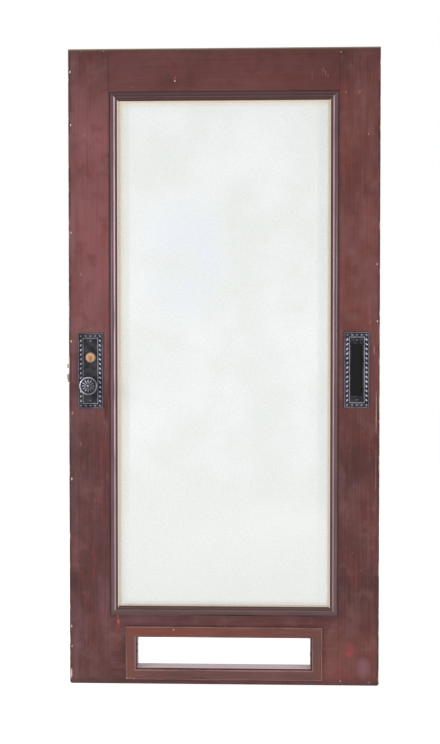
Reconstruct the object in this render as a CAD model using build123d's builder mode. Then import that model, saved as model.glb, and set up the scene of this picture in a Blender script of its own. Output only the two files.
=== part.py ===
from build123d import *
import os

# Glass door leaf, in millimetres: X along its width, Y through its thickness with the outside
# face towards -Y, and Z up from the middle of its bottom edge. The lock is on the -X edge and
# the hinges on the +X edge, and the leaf opens inwards, towards +Y.

# Leaf and its joinery
LEAF_W = 1005.0
LEAF_H = 2057.0
LEAF_T = 44.5
STILE_W = 133.0
TOP_RAIL_H = 137.0
BOTTOM_RAIL_H = 225.0
EDGE_EASE = 3.0
CORNER_R = 8.0
TENON_T = 15.0
TENON_L = 70.0
TENON_SHOULDER = 20.0
TENON_FIT = 0.2

# Glazing
GLASS_T = 6.0
GLASS_SET = 14.0
GLASS_EDGE_GAP = 3.0
MOULD_W = 27.5
MOULD_SET = 0.5
MOULD_QUIRK_W = 2.6
MOULD_QUIRK_D = 3.2
MOULD_COVE_W = 10.6
MOULD_COVE_D = 5.6
MOULD_COVE_BELLY = (4.8, 4.5)
MOULD_ROUND_R = 2.2
MOULD_SLOPE_D = 3.6
PUTTY_W = 4.0
PUTTY_T = 1.6

# Vent in the bottom rail
VENT_FROM_EDGE = 184.5
VENT_TRIM_OUT_H = 170.5
VENT_TRIM_LOW = 18.0
VENT_TRIM_W = 31.0
VENT_TRIM_T = 9.0
VENT_TRIM_ROUND = 2.5
VENT_REVEAL = 4.0
NAIL_A = 2.0
NAIL_OUT = 4.0
NAIL_IN_FROM_FACE = 7.0
NAIL_SPOTS = ((-1, 25.8), (-1, 1.8), (1, -0.2), (1, -7.2))

# Beaded plates of the lock and of the letter slot
PLATE_W = 80.0
PLATE_H = 243.5
PLATE_T = 5.0
PLATE_BEVEL = 1.0
PLATE_RIM_W = 3.7
PLATE_CHANNEL_W = 11.0
PLATE_CHANNEL_FLOOR = 2.8
PLATE_INNER_W = 3.0
PLATE_FIELD_FLOOR = 2.4
BEADS_UP = 16
BEADS_ACROSS = 5
BEAD_LONG = 11.0
BEAD_SHORT = 7.0
BEAD_RISE = 2.4
BEAD_SLOPE = 40.0
BEAD_TILT = 32.0

# Lock furniture
BACKSET = 71.0
KNOB_Z = 973.6
LOCK_PLATE_UP = 47.4
CYLINDER_UP = 90.7
KNOB_D = 58.0
KNOB_SHANK_D = 20.0
KNOB_SHANK_L = 22.0
KNOB_NECK_D = 17.0
KNOB_NECK_AT = 29.0
KNOB_BACK_AT = 43.0
KNOB_RIM_T = 7.0
KNOB_FLARE_D = 23.0
KNOB_RIM_W = 3.6
KNOB_RIM_BEVEL = 1.8
KNOB_DISH = 1.6
KNOB_BOSS_D = 5.4
KNOB_BOSS_TOP_D = 3.0
KNOB_BOSS_RISE = 3.2
PETALS = 12
PETAL_GAP = 0.4
PETAL_ROOT_W = 1.2
PETAL_W = 5.2
PETAL_L = 18.6
PETAL_WIDEST_AT = 13.0
PETAL_RISE = 1.5
PETAL_SLOPE = 35.0
SPINDLE_A = 9.5
SPINDLE_FIT = 0.1
SPINDLE_IN_KNOB = 32.0
SPINDLE_BORE_D = 24.0
SET_SCREW_D = 4.0
SET_SCREW_AT = 14.0
PLATE_HOLE_GAP = 0.3
CYLINDER_HEAD_D = 31.5
CYLINDER_BODY_D = 29.0
CYLINDER_HEAD_OUT = 4.0
CYLINDER_BORE_GAP = 0.5
CYLINDER_REAR_Y = -4.0
PLUG_D = 12.7
PLUG_DROP = 6.6
PLUG_FIT = 0.05
KEYWAY_W = 2.2
KEYWAY_H = 8.4
KEYWAY_DEPTH = 22.0
KEYWAY_DROP = 1.0
COLLAR_D = 38.0
COLLAR_T = 2.6
CAM_REACH = 17.0
CAM_HUB_R = 7.5
CAM_TIP_R = 4.0
CAM_T = 2.5
CAM_GAP = 0.3

# Mortise lock
LOCK_CASE_UP = 46.4
CASE_DEPTH = 90.0
CASE_SHORT = 31.75
CASE_T = 18.0
CASE_WALL = 2.0
CASE_FIT = 0.4
LOCK_FRONT_PAST = 12.5
LOCK_FRONT_W = 26.0
LOCK_FRONT_T = 3.0
LOCK_FRONT_FIT = 0.15
BOLT_T = 12.0
BOLT_FIT = 0.3
BOLT_BLUNT = 0.5
BOLT_TIP_T = 5.0
LATCH_UP = 10.4
LATCH_H = 26.0
LATCH_OUT = 10.2
LATCH_BODY_L = 17.5
TONGUE_H = 9.0
TONGUE_OUT = 8.2
TONGUE_FIT = 0.2
STEM_T = 6.0
STEM_H = 10.0
STEM_UP = 10.0
POST_W = 5.2
POST_LOW = 9.6
HUB_R = 9.0
HUB_FIT = 0.06
HUB_ARM_REACH = 15.4
HUB_ARM_W = 6.0
HUB_ARM_GAP = 0.3
GUARD_UP = 56.4
GUARD_H = 13.3
GUARD_OUT = 10.0
GUARD_BODY_L = 14.5
GUARD_TAIL_L = 50.0
GUARD_TAIL_H = 7.0
GUARD_TAIL_UP = 3.0
SPRING_T = 0.6
SPRING_W = 5.0
SPRING_GAP = 0.1
LATCH_SPRING_DROP = 38.0
GUARD_SPRING_DROP = 18.0
SPRING_FOOT_H = 9.0
SPRING_PAD_H = 3.0
CASE_POST_R = 3.5
CASE_POST_SPOTS = ((16.0, 12.0), (-10.0, -10.0))

# Letter slot
LETTER_BACKSET = 74.5
LETTER_Z = 1024.5
SLOT_W = 36.6
SLOT_LAND = 38.6
FLAP_LAP = 1.7
FLAP_T = 2.2
FLAP_GAP = 0.2
FLAP_PIN_R = 1.25
FLAP_PIN_FIT = 0.05
FLAP_BARREL_R = 2.6
FLAP_PIN_BACK = 3.65
LUG_T = 4.0
LUG_GAP = 0.6
LUG_WALL = 2.2
TUNNEL_GAP = 0.8
TUNNEL_SIDE_GAP = 4.0
FLAP_SPRING_H = 12.0
FLAP_SPRING_R = 2.4
FLAP_SPRING_BORE_GAP = 0.2
FLAP_SPRING_WIRE = 1.0
FLAP_SPRING_LEG = 12.0
BACK_PLATE_T = 2.2
BACK_PLATE_BEVEL = 1.0
BACK_SLOT_GAP = 1.5

# Screws
SCREW_HEAD_D = 7.0
SCREW_HEAD_T = 1.2
SCREW_D = 3.0
SCREW_L = 16.0
SCREW_FIT = 0.1
SCREW_INSET = 25.2
COVER_SCREW_D = 2.5
COVER_SCREW_L = 7.0
COVER_SCREW_HEAD_D = 5.0
COVER_SCREW_HEAD_T = 1.0
LONG_SCREW_D = 2.8
LONG_SCREW_Y = -5.5
FRONT_SCREW_INSET = 6.0

# Hinge gains in the +X edge
HINGE_H = 114.0
HINGE_GAIN_T = 3.0
HINGE_STOP = 6.5
HINGE_FROM_TOP = 178.0
HINGE_FROM_BOTTOM = 280.0
HINGE_PILOT_R = 2.0
HINGE_PILOT_L = 20.0
HINGE_OUTER_Z = 44.45
HINGE_INNER_Z = 15.9
HINGE_OUTER_Y = 9.0
HINGE_INNER_Y = -5.0

# Places that follow from the sizes above
FRONT, BACK = -1, 1
FACE_Y = LEAF_T / 2
LOCK_EDGE = -LEAF_W / 2
HINGE_EDGE = LEAF_W / 2
OPENING_X = LEAF_W / 2 - STILE_W
OPENING_LOW = BOTTOM_RAIL_H
OPENING_HIGH = LEAF_H - TOP_RAIL_H
OPENING_H = OPENING_HIGH - OPENING_LOW
OPENING_Z = (OPENING_LOW + OPENING_HIGH) / 2
GLASS_FRONT_Y = -FACE_Y + GLASS_SET
GLASS_BACK_Y = GLASS_FRONT_Y + GLASS_T
VENT_TRIM_OUT_W = LEAF_W - 2 * VENT_FROM_EDGE
VENT_IN_W = VENT_TRIM_OUT_W - 2 * VENT_TRIM_W
VENT_IN_H = VENT_TRIM_OUT_H - 2 * VENT_TRIM_W
VENT_Z = VENT_TRIM_LOW + VENT_TRIM_OUT_H / 2
VENT_HOLE_W = VENT_IN_W - 2 * VENT_REVEAL
VENT_HOLE_H = VENT_IN_H - 2 * VENT_REVEAL
PLATE_BORDER = PLATE_RIM_W + PLATE_CHANNEL_W + PLATE_INNER_W
LOCK_X = LOCK_EDGE + BACKSET
LETTER_X = HINGE_EDGE - LETTER_BACKSET
LOCK_PLATE_Z = KNOB_Z + LOCK_PLATE_UP
CYLINDER_Z = KNOB_Z + CYLINDER_UP
LOCK_CASE_Z = KNOB_Z + LOCK_CASE_UP
LATCH_LOW = KNOB_Z + LATCH_UP
GUARD_LOW = KNOB_Z + GUARD_UP
LATCH_SPRING_FOOT_Z = LATCH_LOW - LATCH_SPRING_DROP
GUARD_SPRING_FOOT_Z = GUARD_LOW - GUARD_SPRING_DROP
CASE_H = PLATE_H - 2 * CASE_SHORT
LOCK_FRONT_H = CASE_H + 2 * LOCK_FRONT_PAST
CASE_X0 = LOCK_EDGE + LOCK_FRONT_T
CASE_X1 = CASE_X0 + CASE_DEPTH
CASE_X = (CASE_X0 + CASE_X1) / 2
CASE_IN_X1 = CASE_X1 - CASE_WALL
COVER_Y = CASE_T / 2 - CASE_WALL
PLUG_Z = CYLINDER_Z - PLUG_DROP
CYLINDER_FRONT_Y = -FACE_Y - PLATE_FIELD_FLOOR - CYLINDER_HEAD_OUT
PLUG_REAR_Y = CYLINDER_REAR_Y + CAM_GAP
POST_X0 = LOCK_X + HUB_ARM_W / 2 + HUB_ARM_GAP
POST_X1 = POST_X0 + POST_W
STEM_LOW = LATCH_LOW + STEM_UP
GUARD_TAIL_X1 = LOCK_EDGE + GUARD_BODY_L + GUARD_TAIL_L
SLOT_H = PLATE_H - 2 * SLOT_LAND
FLAP_W = SLOT_W + 2 * FLAP_LAP
FLAP_H = SLOT_H + 2 * FLAP_LAP
FLAP_FRONT_Y = -FACE_Y + FLAP_GAP
FLAP_BACK_Y = FLAP_FRONT_Y + FLAP_T
FLAP_PIN_X = LETTER_X + FLAP_W / 2
FLAP_PIN_Y = -FACE_Y + FLAP_PIN_BACK
LUG_IN = FLAP_H / 2 + LUG_GAP
LUG_OUT = LUG_IN + LUG_T
TUNNEL_W = FLAP_W + 2 * TUNNEL_SIDE_GAP
TUNNEL_H = 2 * (LUG_OUT + TUNNEL_GAP)
SPRING_TOP_Z = LETTER_Z - FLAP_H / 2 + FLAP_SPRING_H
HINGE_ZS = (
    HINGE_FROM_BOTTOM,
    (HINGE_FROM_BOTTOM + LEAF_H - HINGE_FROM_TOP) / 2,
    LEAF_H - HINGE_FROM_TOP,
)
ALONG = (Align.CENTER, Align.CENTER, Align.MIN)

os.makedirs("parts", exist_ok=True)


def write(piece, name):
    """Label a finished piece and write its STEP file."""
    piece.part.label = name
    export_step(piece.part, f"parts/{name}.step")


def face_plane(side, x, z, proud=0.0):
    """A plane on the front or back of the leaf, looking out of it, with its own Y upwards."""
    return Plane(origin=(x, side * (FACE_Y + proud), z), x_dir=(-side, 0, 0), z_dir=(0, side, 0))


def lathe_plane(side, x, z):
    """A plane whose X is a radius and whose Y is the distance out of the leaf."""
    return Plane(origin=(x, side * FACE_Y, z), x_dir=(1, 0, 0), z_dir=(0, 0, side))


def screw_pair(middle_z, height, inset):
    """The heights of the two screws near the ends of an upright plate."""
    return (middle_z - height / 2 + inset, middle_z + height / 2 - inset)


def along_x(x, y, z):
    """A place whose own Z runs along +X."""
    return Plane(origin=(x, y, z), x_dir=(0, 1, 0), z_dir=(1, 0, 0)).location


def along_y(x, y, z):
    """A place whose own Z runs along +Y."""
    return Plane(origin=(x, y, z), x_dir=(-1, 0, 0), z_dir=(0, 1, 0)).location


# Stiles and rails

def stile_blank(edge):
    """One full-height stile with its outer arrises eased, at the edge on side -1 or +1."""
    middle = edge * (LEAF_W - STILE_W) / 2
    with BuildPart() as stile:
        with BuildSketch(Plane.XZ.offset(FACE_Y)) as outline:
            with Locations((middle, LEAF_H / 2)):
                Rectangle(STILE_W, LEAF_H)
            low = outline.vertices().group_by(Axis.Y)[0].sort_by(Axis.X)
            fillet(low[0] if edge < 0 else low[-1], radius=CORNER_R)
        extrude(amount=-LEAF_T)
        upright = stile.edges().filter_by(Axis.Z).group_by(Axis.X)
        fillet(upright[0] if edge < 0 else upright[-1], radius=EDGE_EASE)
        for low_z, height in ((0, BOTTOM_RAIL_H), (OPENING_HIGH, TOP_RAIL_H)):
            with Locations((edge * (OPENING_X + TENON_L / 2), 0, low_z + height / 2)):
                Box(
                    TENON_L + 2 * TENON_FIT,
                    TENON_T + 2 * TENON_FIT,
                    height - 2 * TENON_SHOULDER + 2 * TENON_FIT,
                    mode=Mode.SUBTRACT,
                )
    return stile


def rail_blank(low_z, height):
    """A rail between the stiles, with a tenon at each end."""
    with BuildPart() as rail:
        with Locations((0, 0, low_z + height / 2)):
            Box(2 * OPENING_X, LEAF_T, height)
            Box(2 * (OPENING_X + TENON_L), TENON_T, height - 2 * TENON_SHOULDER)
    return rail


with BuildPart() as lock_stile:
    add(stile_blank(-1).part)
    with Locations((CASE_X, 0, LOCK_CASE_Z)):
        Box(
            CASE_DEPTH + 2 * CASE_FIT,
            CASE_T + 2 * CASE_FIT,
            CASE_H + 2 * CASE_FIT,
            mode=Mode.SUBTRACT,
        )
    with Locations((LOCK_EDGE + LOCK_FRONT_T / 2, 0, LOCK_CASE_Z)):
        Box(
            LOCK_FRONT_T,
            LOCK_FRONT_W + 2 * LOCK_FRONT_FIT,
            LOCK_FRONT_H + 2 * LOCK_FRONT_FIT,
            mode=Mode.SUBTRACT,
        )
    with Locations(along_y(LOCK_X, -FACE_Y, KNOB_Z)):
        Cylinder(SPINDLE_BORE_D / 2, LEAF_T, align=ALONG, mode=Mode.SUBTRACT)
    with Locations(along_y(LOCK_X, -FACE_Y, CYLINDER_Z)):
        Cylinder(
            CYLINDER_BODY_D / 2 + CYLINDER_BORE_GAP,
            FACE_Y,
            align=ALONG,
            mode=Mode.SUBTRACT,
        )
    for side in (FRONT, BACK):
        for z in screw_pair(LOCK_PLATE_Z, PLATE_H, SCREW_INSET):
            with Locations(face_plane(side, LOCK_X, z).location):
                Hole(SCREW_D / 2 + SCREW_FIT, depth=SCREW_L)
    for z in screw_pair(LOCK_CASE_Z, LOCK_FRONT_H, FRONT_SCREW_INSET):
        with Locations(along_x(CASE_X0, 0, z)):
            Cylinder(SCREW_D / 2 + SCREW_FIT, SCREW_L, align=ALONG, mode=Mode.SUBTRACT)
write(lock_stile, "lock_stile")

with BuildPart() as hinge_stile:
    add(stile_blank(1).part)
    with Locations((LETTER_X, 0, LETTER_Z)):
        Box(TUNNEL_W, LEAF_T, TUNNEL_H, mode=Mode.SUBTRACT)
    for side in (FRONT, BACK):
        for z in screw_pair(LETTER_Z, PLATE_H, SCREW_INSET):
            with Locations(face_plane(side, LETTER_X, z).location):
                Hole(SCREW_D / 2 + SCREW_FIT, depth=SCREW_L)
    for z in HINGE_ZS:
        with Locations((HINGE_EDGE - HINGE_GAIN_T / 2, HINGE_STOP / 2, z)):
            Box(HINGE_GAIN_T, LEAF_T - HINGE_STOP, HINGE_H, mode=Mode.SUBTRACT)
        for dy, dz in (
            (HINGE_OUTER_Y, HINGE_OUTER_Z),
            (HINGE_INNER_Y, HINGE_INNER_Z),
            (HINGE_INNER_Y, -HINGE_INNER_Z),
            (HINGE_OUTER_Y, -HINGE_OUTER_Z),
        ):
            with Locations(along_x(HINGE_EDGE - HINGE_GAIN_T, dy, z + dz)):
                Hole(HINGE_PILOT_R, depth=HINGE_PILOT_L)
write(hinge_stile, "hinge_stile")

with BuildPart() as top_rail:
    add(rail_blank(OPENING_HIGH, TOP_RAIL_H).part)
write(top_rail, "top_rail")

with BuildPart() as bottom_rail:
    add(rail_blank(0, BOTTOM_RAIL_H).part)
    fillet(bottom_rail.edges().filter_by(Axis.X).group_by(Axis.Z)[0], radius=EDGE_EASE)
    with Locations((0, 0, VENT_Z)):
        Box(VENT_HOLE_W, LEAF_T, VENT_HOLE_H, mode=Mode.SUBTRACT)
write(bottom_rail, "bottom_rail")


# Mouldings round the glass and trims round the vent

def side_plane(side, inward, edge, y):
    """A plane across a length of moulding: X from its outer edge inwards, Y out of the leaf."""
    x_dir = Vector(*inward)
    z_dir = x_dir.cross(Vector(0, side, 0))
    return Plane(origin=(edge[0], y, edge[1]), x_dir=x_dir, z_dir=z_dir)


def mitre(plane, length):
    """Cut both ends of a length of moulding back at 45 degrees from its outer corners."""
    for end in (-1, 1):
        corner = plane.origin + plane.z_dir * (end * length / 2)
        split(
            bisect_by=Plane(origin=corner, z_dir=plane.x_dir + plane.z_dir * end),
            keep=Keep.BOTTOM,
        )


def glass_bead(plane, length, depth):
    """One mitred length of the moulding that holds the glass, depth deep behind the face."""
    cove_start = MOULD_QUIRK_W
    cove_end = cove_start + MOULD_COVE_W
    round_end = cove_end + 2 * MOULD_ROUND_R
    slope_drop = MOULD_COVE_D + MOULD_SLOPE_D
    with BuildPart() as bead:
        with BuildSketch(plane):
            with BuildLine():
                Polyline(
                    (cove_start, -MOULD_SET),
                    (cove_start, -MOULD_QUIRK_D),
                    (0, -MOULD_QUIRK_D),
                    (0, -depth),
                    (MOULD_W, -depth),
                    (MOULD_W, -slope_drop),
                    (round_end, -MOULD_COVE_D - MOULD_ROUND_R / 2),
                    (round_end, -MOULD_COVE_D),
                )
                ThreePointArc(
                    (round_end, -MOULD_COVE_D),
                    (cove_end + MOULD_ROUND_R, -MOULD_COVE_D + MOULD_ROUND_R),
                    (cove_end, -MOULD_COVE_D),
                )
                ThreePointArc(
                    (cove_end, -MOULD_COVE_D),
                    (cove_start + MOULD_COVE_BELLY[0], -MOULD_COVE_BELLY[1]),
                    (cove_start, -MOULD_SET),
                )
            make_face()
        extrude(amount=length / 2, both=True)
        mitre(plane, length)
    return bead


def vent_trim(plane, length):
    """One mitred length of the nearly flat trim that is planted round the vent."""
    with BuildPart() as trim:
        with BuildSketch(plane) as section:
            with Locations((VENT_TRIM_W / 2, VENT_TRIM_T / 2)):
                Rectangle(VENT_TRIM_W, VENT_TRIM_T)
            fillet(section.vertices().group_by(Axis.Y)[-1], radius=VENT_TRIM_ROUND)
        extrude(amount=length / 2, both=True)
        mitre(plane, length)
    return trim


def four_sides(width, height, middle_z):
    """Each side of a rectangle: its name, inward direction, outer edge and length."""
    return (
        ("top", (0, 0, -1), (0, middle_z + height / 2), width),
        ("bottom", (0, 0, 1), (0, middle_z - height / 2), width),
        ("left", (1, 0, 0), (-width / 2, middle_z), height),
        ("right", (-1, 0, 0), (width / 2, middle_z), height),
    )


for name, inward, edge, length in four_sides(2 * OPENING_X, OPENING_H, OPENING_Z):
    front_bead = glass_bead(side_plane(FRONT, inward, edge, -FACE_Y), length, GLASS_SET)
    write(front_bead, f"front_bead_{name}")
    back_bead = glass_bead(side_plane(BACK, inward, edge, FACE_Y), length, FACE_Y - GLASS_BACK_Y)
    write(back_bead, f"back_bead_{name}")

for name, inward, edge, length in four_sides(VENT_TRIM_OUT_W, VENT_TRIM_OUT_H, VENT_Z):
    for side, where in ((FRONT, "front"), (BACK, "back")):
        trim = vent_trim(side_plane(side, inward, edge, side * FACE_Y), length)
        write(trim, f"vent_{where}_{name}")

with BuildPart() as glass_pane:
    with Locations((0, (GLASS_FRONT_Y + GLASS_BACK_Y) / 2, OPENING_Z)):
        Box(
            2 * (OPENING_X - GLASS_EDGE_GAP),
            GLASS_T,
            OPENING_H - 2 * GLASS_EDGE_GAP,
        )
write(glass_pane, "glass_pane")

with BuildPart() as glazing_putty:
    sight_w = 2 * (OPENING_X - MOULD_W)
    sight_h = OPENING_H - 2 * MOULD_W
    with BuildSketch(face_plane(FRONT, 0, OPENING_Z, -GLASS_SET)):
        Rectangle(sight_w, sight_h)
        Rectangle(sight_w - 2 * PUTTY_W, sight_h - 2 * PUTTY_W, mode=Mode.SUBTRACT)
    extrude(amount=PUTTY_T)
    inner_rim = glazing_putty.faces().sort_by(Axis.Y)[0].inner_wires()[0].edges()
    chamfer(inner_rim, length=PUTTY_T / 2, length2=PUTTY_W / 2)
write(glazing_putty, "glazing_putty")

# Stubs of the cut nails that once held a grille stand out of the vent's end walls
with BuildPart() as vent_nail_stubs:
    for end, up in NAIL_SPOTS:
        middle_x = end * (VENT_HOLE_W - NAIL_OUT) / 2
        with Locations((middle_x, -FACE_Y + NAIL_IN_FROM_FACE, VENT_Z + up)):
            Box(NAIL_OUT, NAIL_A, NAIL_A)
write(vent_nail_stubs, "vent_nail_stubs")


# Beaded plates

with BuildPart() as leaf_bead:
    with BuildSketch(Plane.XY):
        Polygon(
            (-BEAD_SHORT / 2, 0),
            (0, -BEAD_LONG / 2),
            (BEAD_SHORT / 2, 0),
            (0, BEAD_LONG / 2),
        )
    extrude(amount=BEAD_RISE, taper=BEAD_SLOPE)


def bead_spots():
    """The centre and tilt of each bead round the border, leaning out to both sides."""
    half_x = PLATE_W / 2 - PLATE_RIM_W - PLATE_CHANNEL_W / 2
    half_y = PLATE_H / 2 - PLATE_RIM_W - PLATE_CHANNEL_W / 2
    for row in range(BEADS_UP):
        y = half_y * (2 * row / (BEADS_UP - 1) - 1)
        yield -half_x, y, BEAD_TILT
        yield half_x, y, -BEAD_TILT
    for column in range(1, BEADS_ACROSS - 1):
        x = half_x * (2 * column / (BEADS_ACROSS - 1) - 1)
        lean = 90 if x == 0 else 90 + (BEAD_TILT if x < 0 else -BEAD_TILT)
        yield x, -half_y, lean
        yield x, half_y, lean


def beaded_plate(side, x, z):
    """A cast plate: an outer rim, a channel of beads, an inner rim and a sunk field."""
    face = face_plane(side, x, z)
    outward = Axis((0, 0, 0), (0, side, 0))
    with BuildPart() as plate:
        with BuildSketch(face):
            Rectangle(PLATE_W, PLATE_H)
        extrude(amount=PLATE_T)
        chamfer(plate.faces().sort_by(outward)[-1].edges(), length=PLATE_BEVEL)
        with BuildSketch(face.offset(PLATE_CHANNEL_FLOOR)):
            Rectangle(PLATE_W - 2 * PLATE_RIM_W, PLATE_H - 2 * PLATE_RIM_W)
            Rectangle(
                PLATE_W - 2 * (PLATE_RIM_W + PLATE_CHANNEL_W),
                PLATE_H - 2 * (PLATE_RIM_W + PLATE_CHANNEL_W),
                mode=Mode.SUBTRACT,
            )
        extrude(amount=PLATE_T, mode=Mode.SUBTRACT)
        with BuildSketch(face.offset(PLATE_FIELD_FLOOR)):
            Rectangle(PLATE_W - 2 * PLATE_BORDER, PLATE_H - 2 * PLATE_BORDER)
        extrude(amount=PLATE_T, mode=Mode.SUBTRACT)
        floor = face.offset(PLATE_CHANNEL_FLOOR).location
        with Locations(*[floor * Location((u, v, 0), (0, 0, tilt)) for u, v, tilt in bead_spots()]):
            add(leaf_bead.part)
        for screw_z in screw_pair(z, PLATE_H, SCREW_INSET):
            with Locations(face_plane(side, x, screw_z, PLATE_T).location):
                Hole(SCREW_D / 2 + SCREW_FIT, depth=PLATE_T)
    return plate


def escutcheon(side):
    """The lock's plate, with the hole for the knob's shank."""
    with BuildPart() as plate:
        add(beaded_plate(side, LOCK_X, LOCK_PLATE_Z).part)
        with Locations(face_plane(side, LOCK_X, KNOB_Z, PLATE_T).location):
            Hole(KNOB_SHANK_D / 2 + PLATE_HOLE_GAP, depth=PLATE_T)
    return plate


with BuildPart() as escutcheon_front:
    add(escutcheon(FRONT).part)
    with Locations(face_plane(FRONT, LOCK_X, CYLINDER_Z, PLATE_T).location):
        Hole(CYLINDER_HEAD_D / 2 + PLATE_HOLE_GAP, depth=PLATE_T)
write(escutcheon_front, "escutcheon_front")

escutcheon_back = escutcheon(BACK)
write(escutcheon_back, "escutcheon_back")


def plate_screws(side, x, z, seat):
    """The pair of screws that holds a plate, with their heads on a seat above the leaf's face."""
    with BuildPart() as screws:
        for screw_z in screw_pair(z, PLATE_H, SCREW_INSET):
            head = face_plane(side, x, screw_z, seat)
            with BuildSketch(head):
                Circle(SCREW_HEAD_D / 2)
            extrude(amount=SCREW_HEAD_T)
            with BuildSketch(head):
                Circle(SCREW_D / 2)
            extrude(amount=-(SCREW_L + seat - SCREW_FIT))
    return screws


write(plate_screws(FRONT, LOCK_X, LOCK_PLATE_Z, PLATE_FIELD_FLOOR), "escutcheon_front_screws")
write(plate_screws(BACK, LOCK_X, LOCK_PLATE_Z, PLATE_FIELD_FLOOR), "escutcheon_back_screws")


# Knobs and spindle

PETAL_START = KNOB_BOSS_D / 2 + PETAL_GAP
with BuildPart() as petal:
    with BuildSketch(Plane.XY):
        Polygon(
            (PETAL_START, -PETAL_ROOT_W / 2),
            (PETAL_START + PETAL_WIDEST_AT, -PETAL_W / 2),
            (PETAL_START + PETAL_L, 0),
            (PETAL_START + PETAL_WIDEST_AT, PETAL_W / 2),
            (PETAL_START, PETAL_ROOT_W / 2),
            align=None,
        )
    extrude(amount=PETAL_RISE, taper=PETAL_SLOPE)


def knob(side):
    """A turned knob with a rosette of petals inside a smooth rim."""
    lathe = lathe_plane(side, LOCK_X, KNOB_Z)
    spin = Axis((LOCK_X, 0, KNOB_Z), (0, side, 0))
    rim_r = KNOB_D / 2 - KNOB_RIM_W
    front_at = KNOB_BACK_AT + KNOB_RIM_T
    flare_at = (KNOB_BACK_AT + KNOB_NECK_AT) / 2
    dish_at = front_at - KNOB_DISH
    with BuildPart() as handle:
        with BuildSketch(lathe):
            with BuildLine():
                Polyline((0, 0), (KNOB_SHANK_D / 2, 0), (KNOB_SHANK_D / 2, KNOB_SHANK_L))
                ThreePointArc(
                    (KNOB_SHANK_D / 2, KNOB_SHANK_L),
                    (KNOB_NECK_D / 2, KNOB_NECK_AT),
                    (KNOB_FLARE_D / 2, flare_at),
                )
                Polyline(
                    (KNOB_FLARE_D / 2, flare_at),
                    (rim_r, KNOB_BACK_AT),
                    (KNOB_D / 2, KNOB_BACK_AT + KNOB_RIM_BEVEL),
                    (KNOB_D / 2, front_at - KNOB_RIM_BEVEL),
                    (rim_r, front_at),
                    (rim_r - KNOB_DISH, dish_at),
                    (KNOB_BOSS_D / 2, dish_at),
                    (KNOB_BOSS_TOP_D / 2, dish_at + KNOB_BOSS_RISE),
                    (0, dish_at + KNOB_BOSS_RISE),
                    (0, 0),
                )
            make_face()
        revolve(axis=spin)
        face = face_plane(side, LOCK_X, KNOB_Z)
        dish = face.offset(dish_at).location
        turns = [360 / PETALS * i for i in range(PETALS)]
        with Locations(*[dish * Location((0, 0, 0), (0, 0, turn)) for turn in turns]):
            add(petal.part)
        with BuildSketch(face):
            Rectangle(SPINDLE_A + 2 * SPINDLE_FIT, SPINDLE_A + 2 * SPINDLE_FIT)
        extrude(amount=SPINDLE_IN_KNOB + SPINDLE_FIT, mode=Mode.SUBTRACT)
        with Locations((LOCK_X, side * (FACE_Y + SET_SCREW_AT), KNOB_Z)):
            Cylinder(
                SET_SCREW_D / 2 + SCREW_FIT,
                KNOB_SHANK_D,
                align=(Align.CENTER, Align.CENTER, Align.MAX),
                mode=Mode.SUBTRACT,
            )
    return handle


for side, where in ((FRONT, "front"), (BACK, "back")):
    write(knob(side), f"knob_{where}")

with BuildPart() as knob_spindle:
    with Locations((LOCK_X, 0, KNOB_Z)):
        Box(SPINDLE_A, 2 * (FACE_Y + SPINDLE_IN_KNOB), SPINDLE_A)
write(knob_spindle, "knob_spindle")

with BuildPart() as knob_set_screws:
    for side in (FRONT, BACK):
        with Locations(
            (LOCK_X, side * (FACE_Y + SET_SCREW_AT), KNOB_Z - SPINDLE_A / 2)
        ):
            Cylinder(
                SET_SCREW_D / 2,
                (KNOB_SHANK_D - SPINDLE_A) / 2 - SCREW_HEAD_T,
                align=(Align.CENTER, Align.CENTER, Align.MAX),
            )
write(knob_set_screws, "knob_set_screws")

# Cylinder, its plug and its cam
with BuildPart() as cylinder_collar:
    with BuildSketch(face_plane(FRONT, LOCK_X, CYLINDER_Z, PLATE_FIELD_FLOOR)):
        Circle(COLLAR_D / 2)
        Circle(CYLINDER_HEAD_D / 2 + PLATE_HOLE_GAP, mode=Mode.SUBTRACT)
    extrude(amount=COLLAR_T)
    rim = cylinder_collar.faces().sort_by(Axis.Y)[0].edges().sort_by(SortBy.LENGTH)[-1]
    chamfer(rim, length=PLATE_BEVEL)
write(cylinder_collar, "cylinder_collar")

with BuildPart() as cylinder_shell:
    with BuildSketch(face_plane(FRONT, LOCK_X, CYLINDER_Z, PLATE_FIELD_FLOOR + CYLINDER_HEAD_OUT)):
        Circle(CYLINDER_HEAD_D / 2)
    extrude(amount=-PLATE_FIELD_FLOOR - CYLINDER_HEAD_OUT)
    front_rim = cylinder_shell.faces().sort_by(Axis.Y)[0].edges()
    chamfer(front_rim, length=PLATE_BEVEL)
    with Locations(along_y(LOCK_X, -FACE_Y, CYLINDER_Z)):
        Cylinder(CYLINDER_BODY_D / 2, FACE_Y + CYLINDER_REAR_Y, align=ALONG)
    with Locations(along_y(LOCK_X, CYLINDER_FRONT_Y, PLUG_Z)):
        Cylinder(
            PLUG_D / 2 + PLUG_FIT,
            CYLINDER_REAR_Y - CYLINDER_FRONT_Y,
            align=ALONG,
            mode=Mode.SUBTRACT,
        )
write(cylinder_shell, "cylinder_shell")

with BuildPart() as cylinder_plug:
    with Locations(along_y(LOCK_X, CYLINDER_FRONT_Y, PLUG_Z)):
        Cylinder(PLUG_D / 2, PLUG_REAR_Y - CYLINDER_FRONT_Y, align=ALONG)
    with Locations((LOCK_X, CYLINDER_FRONT_Y + KEYWAY_DEPTH / 2, PLUG_Z - KEYWAY_DROP)):
        Box(KEYWAY_W, KEYWAY_DEPTH, KEYWAY_H, mode=Mode.SUBTRACT)
write(cylinder_plug, "cylinder_plug")

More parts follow.
